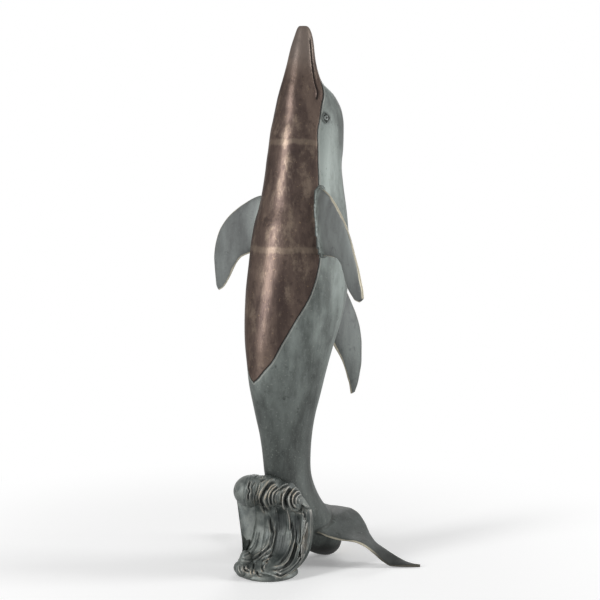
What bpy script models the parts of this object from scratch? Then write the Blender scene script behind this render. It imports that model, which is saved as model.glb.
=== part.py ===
# Garden spitter: a leaping dolphin of cast brass with a curling wave in front of its tail.
# It stands on its heel, on the tip of its left fluke and on the wave's foot.
# Metres, +Z up. The origin is the middle of the wave's flat foot, on the ground.
# The dolphin's back faces +Y, its belly -Y, and its left side +X.

import bpy
import math
from mathutils import Vector

MM = 0.001

# Casting and fit
WALL = 4.0 * MM              # wall of the hollow dolphin
LOW_WALL = 6.5 * MM          # thicker wall where the tail sweeps back, below the stock
SEAT_GAP = 0.3 * MM          # gap between pieces that touch

# Water way
TUBE_OUTER = 9.5 * MM        # outside diameter of the water tube
TUBE_WALL = 0.9 * MM
SPOUT_RECESS = 1.5 * MM      # the tube ends this far below the beak's tip
SPOUT_SOLID_Z = 868.0 * MM   # the beak is solid above this height
SPOUT_CUT_BELOW = 8.0 * MM   # the spout's bore starts this far inside the cavity
SPOUT_CUT_ABOVE = 5.0 * MM
TUBE_LEAD_IN = 14.0 * MM     # straight length of the tube below the spout's bore
TUBE_BEND = 16.0 * MM        # straight length of the tube in front of the fitting
TUBE_HEIGHTS_MM = (40.0, 52.0, 74.0, 100.0, 140.0, 190.0, 250.0, 330.0, 420.0, 520.0, 620.0, 720.0, 790.0)
TUBE_SIDES = 10
INLET_Z = 33.0 * MM          # height of the inlet's axis
INLET_SEAT_Y = 167.0 * MM    # flat spot on the heel where the fitting's hexagon seats
STUB_DIAMETER = 15.0 * MM    # threaded stub that passes through the heel's wall
STUB_LENGTH = 16.0 * MM
HEX_ACROSS = 21.0 * MM       # across the flats
HEX_THICK = 7.0 * MM
BARB_DIAMETER = 12.5 * MM
BARB_NECK = 10.0 * MM
BARB_PITCH = 6.0 * MM
BARB_COUNT = 3
NIPPLE_BORE = 7.0 * MM
SOCKET_DEPTH = 9.0 * MM      # how far the tube enters the stub
SEAT_MARGIN = 2.0 * MM       # the flat spot is this much wider than the hexagon's corners
INLET_CUT_INSIDE = 4.0 * MM  # the inlet's cutter passes the stub by this much
INLET_CUT_OUTSIDE = 20.0 * MM
ROUND_SIDES = 24             # flats round the bores and the fitting

# Body, from the beak's tip down: height, centre in Y, half width, half depth, twist in degrees
BODY_MM = (
    (931.0, 83.0, 7.0, 6.6, 4.0),
    (929.0, 83.5, 9.5, 9.0, 4.0),
    (924.0, 84.0, 12.5, 12.0, 4.0),
    (916.0, 84.0, 15.2, 14.6, 4.0),
    (898.0, 81.5, 19.8, 19.0, 4.0),
    (873.0, 79.0, 24.3, 23.4, 4.0),
    (853.0, 78.5, 29.0, 28.5, 4.0),
    (834.0, 80.0, 35.3, 35.3, 4.0),
    (820.0, 90.0, 42.5, 49.0, 4.0),
    (806.0, 94.0, 48.0, 56.0, 4.0),
    (791.0, 97.0, 53.0, 61.0, 4.0),
    (776.0, 97.0, 56.0, 64.0, 4.0),
    (756.0, 94.0, 59.0, 66.5, 4.0),
    (723.0, 90.0, 60.5, 68.0, 5.0),
    (697.0, 85.0, 61.0, 68.5, 5.0),
    (672.0, 84.0, 63.5, 71.0, 6.0),
    (630.0, 82.5, 69.0, 78.5, 6.0),
    (596.0, 78.0, 75.0, 85.5, 6.0),
    (545.0, 74.5, 80.0, 91.0, 7.0),
    (485.0, 66.5, 79.5, 93.5, 8.0),
    (459.0, 62.5, 77.0, 93.0, 8.0),
    (418.0, 53.5, 71.0, 88.0, 9.0),
    (390.0, 47.5, 65.0, 83.5, 9.0),
    (362.0, 43.5, 58.5, 78.5, 9.0),
    (326.0, 39.5, 50.0, 73.5, 8.0),
    (294.0, 38.5, 43.0, 67.5, 6.0),
    (268.0, 37.5, 38.0, 62.0, 4.0),
    (238.0, 38.5, 33.0, 57.5, 1.0),
    (209.0, 39.5, 30.0, 56.0, -2.0),
    (179.0, 41.0, 29.0, 55.0, -4.0),
    (155.0, 45.0, 31.0, 53.0, -5.0),
    (133.0, 53.0, 34.0, 53.0, -5.0),
    (111.0, 65.0, 37.0, 54.0, -5.0),
    (94.0, 80.0, 38.5, 54.0, -5.0),
    (74.0, 98.0, 40.0, 56.0, -5.0),
    (54.0, 113.0, 41.0, 57.0, -5.0),
    (34.0, 125.0, 39.5, 49.0, -5.0),
    (18.0, 134.0, 33.0, 37.5, -5.0),
    (7.0, 142.0, 22.0, 25.0, -5.0),
    (0.0, 148.0, 9.0, 10.0, -5.0),
)
SPOUT_Z = BODY_MM[0][0] * MM     # top of the beak
BODY_SEGMENTS = 40
HEAD_RING_STEP = 11.0 * MM
TRUNK_RING_STEP = 30.0 * MM
TAIL_RING_STEP = 12.0 * MM
BEAK_RING_DROPS = (7.0 * MM, 2.0 * MM)   # more rings, this far below the beak's tip
HEAD_BOTTOM_Z = 735.0 * MM
TAIL_TOP_Z = 210.0 * MM
CAVITY_SEGMENTS = 20

# Mouth line, cut into both sides of the beak: height, degrees from the middle of the belly
GAPE_MM = (
    (808.0, 66.5),
    (825.0, 77.5),
    (840.0, 85.0),
    (873.0, 90.0),
    (890.0, 89.0),
    (910.0, 86.0),
)
GAPE_DEPTH = 2.2 * MM
GAPE_WIDTH = 6.0             # degrees

# Eyes
EYE_Z = 776.0 * MM
EYE_ANGLE = 77.0             # degrees from the middle of the belly
EYE_LONG = 14.0 * MM
EYE_HIGH = 10.0 * MM
EYE_PROUD = 2.6 * MM
EYE_SIDES = 12
EYE_TILTS = (-80.0, -50.0, -18.0, 18.0, 50.0, 80.0)
EYE_FOOT = 2.0               # degrees on either side, over which the head's slope is read

# Fins in general
FIN_STATIONS = 17
FIN_RING_POINTS = 16
FIN_FULLNESS = 0.8           # below 1 the section is fuller than an ellipse
FIN_FLARE = 0.16             # share of the fin over which the root's flare dies out

# Pectoral fins: distance out from the root line and height, at the leading and trailing edge
LEFT_PECTORAL_MM = (
    (-22.0, 662.0, -22.0, 550.0),
    (12.0, 656.0, 14.0, 548.0),
    (33.0, 648.0, 41.0, 547.5),
    (49.0, 637.0, 55.0, 546.5),
    (67.0, 619.5, 62.5, 543.0),
    (80.0, 604.5, 70.0, 536.5),
    (96.5, 577.5, 77.0, 522.0),
    (107.5, 554.5, 81.5, 510.0),
    (118.5, 530.5, 88.0, 498.5),
    (124.0, 511.5, 99.0, 487.0),
    (127.5, 498.0, 105.0, 481.5),
    (126.5, 487.0, 114.5, 479.0),
)
RIGHT_PECTORAL_MM = (
    (-22.0, 648.0, -22.0, 550.0),
    (12.0, 643.0, 12.0, 547.0),
    (44.5, 628.0, 42.0, 538.0),
    (62.0, 617.5, 50.5, 534.0),
    (79.5, 604.0, 56.5, 529.0),
    (91.5, 591.0, 62.5, 522.0),
    (100.5, 578.0, 68.5, 512.5),
    (107.0, 562.5, 74.5, 502.5),
    (111.5, 547.0, 82.5, 490.5),
    (114.0, 529.0, 91.0, 480.5),
    (113.0, 505.0, 98.5, 475.0),
    (111.5, 483.0, 105.5, 472.0),
)
PECTORAL_ROOT_Y = 75.0 * MM      # middle of the trunk at the fins
PECTORAL_ROOT_OUT = 70.0 * MM
PECTORAL_ROOT_FORWARD = 15.0 * MM
PECTORAL_TWIST = 7.0             # degrees
PECTORAL_SWEEP = 11.0            # degrees towards the belly
PECTORAL_BOW = 7.0 * MM          # bulge of the blade towards the belly
PECTORAL_THICK_ROOT = 24.0 * MM
PECTORAL_THICK_TIP = 5.0 * MM

# Dorsal fin: distance back from the trunk's middle and height, leading and trailing edge
DORSAL_MM = (
    (52.0, 535.0, 34.0, 418.0),
    (95.0, 512.0, 62.0, 407.0),
    (115.0, 481.0, 81.0, 391.0),
    (131.0, 453.0, 95.0, 372.0),
    (143.0, 430.0, 107.0, 355.0),
    (152.0, 404.0, 114.0, 342.0),
    (156.0, 376.0, 119.0, 330.0),
    (156.0, 348.0, 123.0, 318.0),
    (152.0, 325.0, 127.5, 306.0),
    (147.0, 306.0, 129.5, 296.0),
    (140.5, 292.0, 131.0, 288.5),
)
DORSAL_ROOT_Y = 60.0 * MM
DORSAL_TWIST = 10.0
DORSAL_THICK_ROOT = 22.0 * MM
DORSAL_THICK_TIP = 5.0 * MM

# Flukes: distance out, then distance back and height of the leading and trailing edge.
# The left one rests on the ground at its tip, and the right one's tip curls up.
LEFT_FLUKE_MM = (
    (0.0, 22.0, 66.0, 137.0, 80.0),
    (20.0, 26.0, 65.0, 139.0, 81.0),
    (38.0, 34.0, 61.0, 140.0, 81.0),
    (54.0, 45.0, 53.0, 141.0, 76.0),
    (73.0, 57.0, 47.0, 136.0, 62.0),
    (94.0, 66.0, 46.0, 124.0, 43.0),
    (110.0, 74.0, 40.0, 119.0, 32.0),
    (126.0, 82.0, 27.0, 121.0, 24.0),
    (140.0, 91.0, 12.0, 124.0, 17.0),
    (152.0, 100.0, 3.6, 127.0, 11.0),
    (166.0, 110.0, 3.0, 129.0, 6.0),
    (181.0, 122.0, 2.7, 132.0, 3.2),
    (190.0, 131.0, 2.6, 134.0, 2.7),
)
RIGHT_FLUKE_MM = (
    (0.0, 22.0, 66.0, 137.0, 80.0),
    (20.0, 26.0, 65.0, 139.0, 81.0),
    (38.0, 34.0, 61.0, 140.0, 81.0),
    (54.0, 45.0, 55.0, 141.0, 76.0),
    (73.0, 57.0, 50.0, 136.0, 63.0),
    (94.0, 66.0, 47.0, 126.0, 46.0),
    (112.0, 74.0, 43.0, 121.0, 35.0),
    (126.0, 82.0, 42.0, 122.0, 29.0),
    (138.0, 89.0, 42.0, 126.0, 25.0),
    (149.0, 95.0, 43.0, 130.0, 22.0),
    (159.0, 101.0, 44.0, 134.0, 21.0),
    (168.0, 107.0, 44.0, 137.0, 23.0),
    (175.0, 116.0, 40.0, 135.0, 28.0),
)
FLUKE_ROOT_Y = 39.0 * MM
FLUKE_TWIST = -5.0
FLUKE_THICK_ROOT = 15.0 * MM
LEFT_FLUKE_THICK_TIP = 5.0 * MM
RIGHT_FLUKE_THICK_TIP = 11.0 * MM
FLUKE_THINNING = 1.3
FLUKE_STATIONS = 18

# Wave: its own width and forward directions are turned from the dolphin's
WAVE_TURN = 18.0                 # degrees
WAVE_STATIONS = 60
WAVE_ROLL_POINTS = 14
WAVE_SHEET_ROWS = 14
WAVE_STRANDS = 13.0              # ridges across the width
WAVE_STRAND_DEPTH = 1.5 * MM
WAVE_STRAND_SHARE = 0.7          # the rest of the depth is a slower ripple
WAVE_STRAND_SLOW = 0.43          # pace of the slower ripple
WAVE_STRAND_SHIFT = 1.3          # radians
WAVE_NOSE_END = -0.55            # the smooth round nose of the curl lies left of this place
WAVE_RIM_START = 0.82            # the right rim is rounded beyond this place
WAVE_END_LIMIT = 0.985           # the rounding stops this far out, which leaves a small flat end
WAVE_END_SHEET = 0.25            # share of the sheet's thickness left at the ends
WAVE_RIDGE_RISE = 4.0            # the ridges reach full height at one part in this many of the sheet
WAVE_NECK_DROP = 5.0 * MM        # the sheet ends this far below the curl's underside
WAVE_FLOW_TOP = 104.0 * MM       # below this height the strands bend towards the splash
WAVE_FLOW_DROP = 103.0 * MM
WAVE_FLOW_CURVE = 4.0
WAVE_SPLASH_WIDE = -24.0 * MM    # where the strands meet, across the width
# Standing sheet, from the foot up: height, forward place, half thickness, left edge
WAVE_SHEET_MM = (
    (2.0, 20.0, 30.0, -47.0),
    (12.0, 17.0, 31.0, -49.0),
    (24.0, 5.0, 25.0, -46.5),
    (38.0, -7.0, 19.0, -41.5),
    (56.0, -14.0, 15.0, -38.0),
    (76.0, -17.0, 13.0, -36.0),
    (96.0, -16.0, 13.0, -39.0),
    (112.0, -9.0, 14.0, -43.0),
)
WAVE_SHEET_RIGHT = 67.0 * MM
# Curl of the crest across the width from -1 to 1: centre forward, top height, radius.
# Each lobe starts wide at its left and narrows to the right, under a top line that runs on.
WAVE_CURL_MM = (
    (-1.0, 27.0, 171.0, 25.0),
    (-0.55, 27.0, 173.5, 27.0),
    (-0.45, 26.0, 175.0, 28.5),
    (-0.09, 22.0, 173.5, 19.0),
    (-0.07, 19.0, 175.0, 28.0),
    (0.2, 17.0, 172.0, 25.0),
    (0.51, 14.0, 164.0, 16.0),
    (0.53, 9.0, 165.5, 26.0),
    (0.75, 6.0, 156.0, 22.0),
    (1.0, 2.0, 143.0, 16.0),
)
WAVE_CURL_LEFT = -57.5 * MM
WAVE_CURL_RIGHT = 56.0 * MM
WAVE_UNDERSIDE = -112.0          # degrees, where the curl meets the sheet
WAVE_BACKSIDE = 160.0
WAVE_NAPE_POINTS = 6             # points down the back of the neck, below the curl
WAVE_NAPE_BULGE = 4.0 * MM
# Gap to the smooth tail, whose facets lie a little inside it
WAVE_TAIL_GAP = SEAT_GAP + 0.2 * MM
# Foot of the wave: middle across and forward, half sizes, height
WAVE_FOOT_ACROSS = -4.0 * MM
WAVE_FOOT_FORWARD = 10.0 * MM
WAVE_FOOT_HALF_WIDE = 52.5 * MM
WAVE_FOOT_HALF_DEEP = 51.0 * MM
WAVE_FOOT_HEIGHT = 13.0 * MM
# Levels of the foot: share of its height, share of its size
WAVE_FOOT_LEVELS = ((0.0, 0.93), (0.25, 1.0), (0.6, 0.97), (0.85, 0.86), (1.0, 0.66))
WAVE_FOOT_SIDES = 36
SPLASH_SIDES = 12
SPLASH_TILTS = (-75.0, -45.0, -15.0, 15.0, 45.0, 75.0)
SPLASH_CLEAR = 1.0 * MM          # height of the lumps above the ground
# Splash lumps: across, forward, height, radius
WAVE_SPLASH_MM = (
    (-43.0, 34.0, 13.0, 13.0),
    (-34.0, 47.0, 12.0, 12.0),
    (-17.0, 52.0, 10.0, 10.0),
    (-47.0, 12.0, 14.0, 12.0),
    (-36.0, 30.0, 22.0, 12.0),
)


def hermite(table, column, x):
    """Smooth value of one column of a table, whose first column is in order."""
    rows = table if table[0][0] < table[-1][0] else table[::-1]
    xs = [row[0] for row in rows]
    ys = [row[column] for row in rows]
    if x <= xs[0]:
        return ys[0]
    if x >= xs[-1]:
        return ys[-1]
    i = max(k for k in range(len(xs) - 1) if xs[k] <= x)
    steps = [(ys[k + 1] - ys[k]) / (xs[k + 1] - xs[k]) for k in range(len(xs) - 1)]

    def slope(k):
        if k == 0 or k == len(xs) - 1:
            return steps[min(k, len(steps) - 1)]
        if steps[k - 1] * steps[k] <= 0.0:
            return 0.0
        return 2.0 * steps[k - 1] * steps[k] / (steps[k - 1] + steps[k])

    span = xs[i + 1] - xs[i]
    t = (x - xs[i]) / span
    near = (1.0 + 2.0 * t) * (1.0 - t) ** 2 * ys[i] + t * (1.0 - t) ** 2 * span * slope(i)
    far = t * t * (3.0 - 2.0 * t) * ys[i + 1] - t * t * (1.0 - t) * span * slope(i + 1)
    return near + far


def axes(twist):
    """The dolphin's left and back directions at a twist in degrees."""
    turn = math.radians(twist)
    left = Vector((math.cos(turn), -math.sin(turn), 0.0))
    back = Vector((math.sin(turn), math.cos(turn), 0.0))
    return left, back


def body_values(z):
    """Centre in Y, half width, half depth and twist of the body at a height."""
    row = [hermite(BODY_MM, column, z / MM) for column in (1, 2, 3, 4)]
    return row[0] * MM, row[1] * MM, row[2] * MM, row[3]


def gape_dent(angle, z):
    """Depth of the mouth line at an angle from the belly's middle."""
    if z < GAPE_MM[0][0] * MM or z > GAPE_MM[-1][0] * MM:
        return 0.0
    off = (abs(angle) - hermite(GAPE_MM, 1, z / MM)) / GAPE_WIDTH
    return GAPE_DEPTH * math.exp(-off * off)


def body_point(z, angle, inset=0.0, dent=0.0):
    """A point of the body's surface, the angle in degrees from the belly's middle to the left."""
    centre, half_width, half_depth, twist = body_values(z)
    left, back = axes(twist)
    turn = math.radians(angle)
    out = left * (half_width - inset) * math.sin(turn)
    out -= back * (half_depth - inset) * math.cos(turn)
    out -= out.normalized() * dent
    return Vector((0.0, centre, z)) + out


def loft_sides(rings):
    """Points and side faces through rings of equal length."""
    count = len(rings[0])
    points = [point for ring in rings for point in ring]
    faces = []
    for r in range(len(rings) - 1):
        for k in range(count):
            a = r * count + k
            b = r * count + (k + 1) % count
            faces.append((a, b, b + count, a + count))
    return points, faces


def loft_ladder(name, rings):
    """A closed mesh object through long rings, each end closed by rungs from one side to the other."""
    count = len(rings[0])
    points, faces = loft_sides(rings)
    for start, flip in ((0, True), (len(points) - count, False)):
        for k in range((count - 1) // 2):
            rung = [k, k + 1, count - 2 - k, count - 1 - k]
            face = [start + corner for corner in dict.fromkeys(rung)]
            faces.append(face[::-1] if flip else face)
    return mesh_object(name, points, faces)


def loft(name, rings):
    """A closed mesh object through rings of equal length, with a fan over each end."""
    count = len(rings[0])
    points, faces = loft_sides(rings)
    for start, flip in ((0, True), (len(points) - count, False)):
        middle = sum((points[start + k] for k in range(count)), Vector()) / count
        points.append(middle)
        for k in range(count):
            edge = (start + k, start + (k + 1) % count)
            face = edge + (len(points) - 1,)
            faces.append(face[::-1] if flip else face)
    return mesh_object(name, points, faces)


def mesh_object(name, points, faces):
    """A mesh object whose faces point out."""
    mesh = bpy.data.meshes.new(name)
    mesh.from_pydata([tuple(point) for point in points], [], faces)
    thing = bpy.data.objects.new(name, mesh)
    bpy.context.scene.collection.objects.link(thing)
    if signed_volume(mesh) < 0.0:
        mesh.flip_normals()
    return thing


def signed_volume(mesh):
    """Volume of a closed mesh, negative where its faces point in."""
    total = 0.0
    for face in mesh.polygons:
        corners = [mesh.vertices[k].co for k in face.vertices]
        for k in range(1, len(corners) - 1):
            total += corners[0].dot(corners[k].cross(corners[k + 1]))
    return total / 6.0


def material(name, colour, roughness, metallic):
    """A plain Principled material."""
    look = bpy.data.materials.new(name)
    look.use_nodes = True
    shader = look.node_tree.nodes["Principled BSDF"]
    shader.inputs["Base Color"].default_value = (*colour, 1.0)
    shader.inputs["Roughness"].default_value = roughness
    shader.inputs["Metallic"].default_value = metallic
    return look


def boolean(target, operand, operation):
    """Join an operand to a target or cut it away, and keep the operand as a guide."""
    operand.hide_render = True
    operand.display_type = "WIRE"
    change = target.modifiers.new(operand.name, "BOOLEAN")
    change.operation = operation
    change.solver = "EXACT"
    change.object = operand


def smooth(thing, degrees):
    """Smooth shading with creases past an angle."""
    thing.data.shade_smooth()
    thing.data.set_sharp_from_angle(angle=math.radians(degrees))


def spread(low, high, step):
    """Even heights from low to high, about a step apart."""
    count = max(1, round((high - low) / step))
    return [low + (high - low) * k / count for k in range(count + 1)]


def body_heights():
    """Heights of the body's rings, closer at the head and the tail."""
    low = BODY_MM[-1][0] * MM
    high = SPOUT_Z
    tail = spread(low, TAIL_TOP_Z, TAIL_RING_STEP)
    trunk = spread(TAIL_TOP_Z, HEAD_BOTTOM_Z, TRUNK_RING_STEP)
    head = spread(HEAD_BOTTOM_Z, high, HEAD_RING_STEP)
    beak = [high - drop for drop in BEAK_RING_DROPS]
    return tail[:-1] + trunk[:-1] + head[:-1] + beak + [high]


def make_body():
    """The outer surface of beak, head, trunk and tail."""
    angles = [360.0 * k / BODY_SEGMENTS for k in range(BODY_SEGMENTS)]
    rings = []
    for z in body_heights():
        signed = [angle if angle <= 180.0 else angle - 360.0 for angle in angles]
        rings.append([body_point(z, angle, dent=gape_dent(angle, z)) for angle in signed])
    return loft("dolphin", rings)


def make_cavity():
    """The hollow inside the casting, from the heel to the beak's solid end."""
    floor = BODY_MM[-1][0] * MM + LOW_WALL
    inside = [z for z in body_heights() if floor < z < SPOUT_SOLID_Z - MM]
    rings = []
    for z in [floor] + inside + [SPOUT_SOLID_Z]:
        share = min(1.0, max(0.0, (TAIL_TOP_Z - z) / (0.5 * TAIL_TOP_Z)))
        inset = WALL + (LOW_WALL - WALL) * share
        angles = [360.0 * k / CAVITY_SEGMENTS for k in range(CAVITY_SEGMENTS)]
        rings.append([body_point(z, angle, inset=inset) for angle in angles])
    return loft("cavity", rings)


def turns_round(count):
    """Angles of points spread evenly round a circle."""
    return [2.0 * math.pi * k / count for k in range(count)]


def cylinder(name, start, end, radius):
    """A closed round bar between two points."""
    along = (end - start).normalized()
    across = along.orthogonal().normalized()
    third = along.cross(across)
    rings = []
    for centre in (start, end):
        turns = turns_round(ROUND_SIDES)
        rings.append([centre + (across * math.cos(t) + third * math.sin(t)) * radius for t in turns])
    return loft(name, rings)


def section_ring(lead, trail, normal, thick):
    """A flat oval ring round the chord between two edge points."""
    middle = (lead + trail) * 0.5
    chord = (trail - lead) * 0.5
    ring = []
    for turn in turns_round(FIN_RING_POINTS):
        lift = math.copysign(abs(math.sin(turn)) ** FIN_FULLNESS, math.sin(turn))
        ring.append(middle - chord * math.cos(turn) + normal * lift * thick * 0.5)
    return ring


def fin_thickness(share, root, tip):
    """Thickness from root to tip, with a flare at the root."""
    flare = math.exp(-(share / FIN_FLARE) ** 2)
    blade = tip + 0.5 * (root - tip) * (1.0 - share) ** FIN_FULLNESS
    return blade + (root - blade) * flare


def fin_rows(table, count):
    """Rows of a fin's table read off evenly along the fin."""
    indexed = [(float(k),) + tuple(row) for k, row in enumerate(table)]
    last = len(table) - 1
    places = [last * k / (count - 1) for k in range(count)]
    columns = range(1, len(table[0]) + 1)
    return [(place / last, [hermite(indexed, c, place) * MM for c in columns]) for place in places]


def make_pectoral(name, side, table):
    """A pectoral fin, side 1 for the dolphin's left and -1 for its right."""
    left, back = axes(PECTORAL_TWIST)
    sweep = math.radians(PECTORAL_SWEEP)
    out = left * side * math.cos(sweep) - back * math.sin(sweep)
    normal = Vector((out.y, -out.x, 0.0)) * side
    root = Vector((0.0, PECTORAL_ROOT_Y, 0.0)) + left * side * PECTORAL_ROOT_OUT
    root -= back * PECTORAL_ROOT_FORWARD
    reach = max(row[0] for row in table) * MM
    rings = []
    for share, (s_lead, z_lead, s_trail, z_trail) in fin_rows(table, FIN_STATIONS):
        bow = 4.0 * PECTORAL_BOW * (s_trail / reach) * (1.0 - s_trail / reach)
        lead = root + out * s_lead + normal * bow + Vector((0.0, 0.0, z_lead))
        trail = root + out * s_trail + normal * bow + Vector((0.0, 0.0, z_trail))
        thick = fin_thickness(share, PECTORAL_THICK_ROOT, PECTORAL_THICK_TIP)
        rings.append(section_ring(lead, trail, normal, thick))
    return loft(name, rings)


def make_dorsal():
    """The dorsal fin, in the middle plane of the back."""
    left, back = axes(DORSAL_TWIST)
    root = Vector((0.0, DORSAL_ROOT_Y, 0.0))
    rings = []
    for share, (d_lead, z_lead, d_trail, z_trail) in fin_rows(DORSAL_MM, FIN_STATIONS):
        lead = root + back * d_lead + Vector((0.0, 0.0, z_lead))
        trail = root + back * d_trail + Vector((0.0, 0.0, z_trail))
        thick = fin_thickness(share, DORSAL_THICK_ROOT, DORSAL_THICK_TIP)
        rings.append(section_ring(lead, trail, left, thick))
    return loft("dorsal_fin", rings)


def fluke_half(table, tip):
    """Leading and trailing edge points of one fluke with its thickness, from the middle out."""
    rows = []
    for share, (out, d_lead, z_lead, d_trail, z_trail) in fin_rows(table, FLUKE_STATIONS):
        thick = tip + (FLUKE_THICK_ROOT - tip) * (1.0 - share) ** FLUKE_THINNING
        rows.append((out, d_lead, z_lead, d_trail, z_trail, thick))
    return rows


def make_flukes():
    """Both flukes as one blade, arched over the ground."""
    left, back = axes(FLUKE_TWIST)
    root = Vector((0.0, FLUKE_ROOT_Y, 0.0))
    right_half = fluke_half(RIGHT_FLUKE_MM, RIGHT_FLUKE_THICK_TIP)
    rows = [(-row[0],) + row[1:] for row in right_half[:0:-1]]
    rows += fluke_half(LEFT_FLUKE_MM, LEFT_FLUKE_THICK_TIP)
    leads = [root + left * row[0] + back * row[1] + Vector((0.0, 0.0, row[2])) for row in rows]
    trails = [root + left * row[0] + back * row[3] + Vector((0.0, 0.0, row[4])) for row in rows]
    rings = []
    for k, row in enumerate(rows):
        low = max(0, k - 1)
        high = min(len(rows) - 1, k + 1)
        span = (leads[high] + trails[high]) - (leads[low] + trails[low])
        normal = span.cross(trails[k] - leads[k]).normalized()
        rings.append(section_ring(leads[k], trails[k], normal, row[5]))
    return loft("flukes", rings)


def make_eye(name, side):
    """An almond-shaped eye standing slightly proud of the head."""
    centre = body_point(EYE_Z, side * EYE_ANGLE)
    ahead = body_point(EYE_Z, side * (EYE_ANGLE + EYE_FOOT))
    across = (ahead - body_point(EYE_Z, side * (EYE_ANGLE - EYE_FOOT))).normalized()
    up = (body_point(EYE_Z + MM, side * EYE_ANGLE) - centre).normalized()
    out = across.cross(up).normalized()
    rings = []
    for tilt in EYE_TILTS:
        level = math.radians(tilt)
        ring = []
        for turn in turns_round(EYE_SIDES):
            flat = across * math.cos(turn) * EYE_HIGH * 0.5 + up * math.sin(turn) * EYE_LONG * 0.5
            ring.append(centre + flat * math.cos(level) + out * math.sin(level) * EYE_PROUD)
        rings.append(ring)
    return loft(name, rings)


def inlet_axis():
    """Start of the inlet's axis on the heel's seat, and its direction."""
    return Vector((0.0, INLET_SEAT_Y, INLET_Z)), Vector((0.0, 1.0, 0.0))


def spout_axis():
    """Ends of the spout's bore, one inside the cavity and one above the beak's tip."""
    low = Vector((0.0, body_values(SPOUT_SOLID_Z)[0], SPOUT_SOLID_Z - SPOUT_CUT_BELOW))
    top = Vector((0.0, body_values(SPOUT_Z)[0], SPOUT_Z + SPOUT_CUT_ABOVE))
    return low, top


def make_inlet_cutter():
    """The bore for the fitting's stub, with the wide flat spot that its hexagon seats on."""
    seat, along = inlet_axis()
    bore = STUB_DIAMETER * 0.5 + SEAT_GAP
    wide = HEX_ACROSS / math.sqrt(3.0) + SEAT_MARGIN
    rings = []
    start = -STUB_LENGTH - INLET_CUT_INSIDE
    for at, radius in ((start, bore), (0.0, bore), (0.0, wide), (INLET_CUT_OUTSIDE, wide)):
        turns = turns_round(ROUND_SIDES)
        rings.append([seat + along * at + Vector((math.cos(t), 0.0, math.sin(t))) * radius for t in turns])
    return loft("inlet_cutter", rings)


def make_dolphin(look):
    """The hollow casting with its fins, flukes, eyes, spout bore and inlet."""
    body = make_body()
    boolean(body, make_pectoral("left_pectoral_fin", 1, LEFT_PECTORAL_MM), "UNION")
    boolean(body, make_pectoral("right_pectoral_fin", -1, RIGHT_PECTORAL_MM), "UNION")
    boolean(body, make_dorsal(), "UNION")
    boolean(body, make_flukes(), "UNION")
    for side, word in ((1, "left"), (-1, "right")):
        boolean(body, make_eye(word + "_eye", side), "UNION")
    boolean(body, make_cavity(), "DIFFERENCE")
    low, top = spout_axis()
    spout = cylinder("spout_cutter", low, top, TUBE_OUTER * 0.5 + SEAT_GAP)
    boolean(body, spout, "DIFFERENCE")
    boolean(body, make_inlet_cutter(), "DIFFERENCE")
    body.data.materials.append(look)
    smooth(body, 40.0)
    return body


def tube_path():
    """Middle line of the water tube, from the fitting's socket up to the spout."""
    seat, along = inlet_axis()
    start = seat - along * (STUB_LENGTH - SOCKET_DEPTH)
    points = [start, start - along * TUBE_BEND]
    for height in TUBE_HEIGHTS_MM:
        z = height * MM
        points.append(Vector((0.0, body_values(z)[0], z)))
    low, top = spout_axis()
    rise = (top - low).normalized()
    points.append(low - rise * TUBE_LEAD_IN)
    points.append(low + rise * ((SPOUT_Z - SPOUT_RECESS - low.z) / rise.z))
    return points


def make_tube(look):
    """The water tube, open at both ends."""
    path = tube_path()
    rings = []
    for order, radius in ((path, TUBE_OUTER * 0.5), (path[::-1], TUBE_OUTER * 0.5 - TUBE_WALL)):
        for point in order:
            k = path.index(point)
            ahead = path[min(k + 1, len(path) - 1)] - point
            behind = point - path[max(k - 1, 0)]
            along = (ahead.normalized() + behind.normalized()).normalized()
            across = Vector((1.0, 0.0, 0.0))
            third = along.cross(across).normalized()
            turns = turns_round(TUBE_SIDES)
            rings.append([point + (across * math.cos(t) + third * math.sin(t)) * radius for t in turns])
    tube = ring_solid("water_tube", rings)
    tube.data.materials.append(look)
    smooth(tube, 40.0)
    return tube


def ring_solid(name, rings):
    """A closed mesh through rings, the last joined to the first, as in a pipe."""
    count = len(rings[0])
    points = [point for ring in rings for point in ring]
    faces = []
    for r in range(len(rings)):
        for k in range(count):
            a = r * count + k
            b = r * count + (k + 1) % count
            up = count if r < len(rings) - 1 else -r * count
            faces.append((a, b, b + up, a + up))
    return mesh_object(name, points, faces)


def hex_radius(turn):
    """Radius of the hexagon at an angle, with a corner straight to each side."""
    sector = math.pi / 3.0
    return HEX_ACROSS * 0.5 / math.cos(turn % sector - sector * 0.5)


def make_fitting(look):
    """The hose fitting at the heel: threaded stub, hexagon and barbed nipple, bored through."""
    seat, along = inlet_axis()
    stub = STUB_DIAMETER * 0.5
    bore = NIPPLE_BORE * 0.5
    socket = TUBE_OUTER * 0.5 + SEAT_GAP
    outside = [(-STUB_LENGTH, stub), (SEAT_GAP, stub), (SEAT_GAP, None), (SEAT_GAP + HEX_THICK, None)]
    place = SEAT_GAP + HEX_THICK
    for _ in range(BARB_COUNT):
        outside.append((place, BARB_DIAMETER * 0.5))
        outside.append((place + BARB_PITCH, BARB_NECK * 0.5))
        place += BARB_PITCH
    floor = -STUB_LENGTH + SOCKET_DEPTH + SEAT_GAP
    inside = [(place, bore), (floor, bore), (floor, socket), (-STUB_LENGTH, socket)]
    rings = []
    for at, radius in outside + inside:
        ring = []
        for t in turns_round(ROUND_SIDES):
            size = hex_radius(t) if radius is None else radius
            ring.append(seat + along * at + Vector((math.cos(t), 0.0, math.sin(t))) * size)
        rings.append(ring)
    fitting = ring_solid("inlet_fitting", rings)
    fitting.data.materials.append(look)
    smooth(fitting, 30.0)
    return fitting


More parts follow.
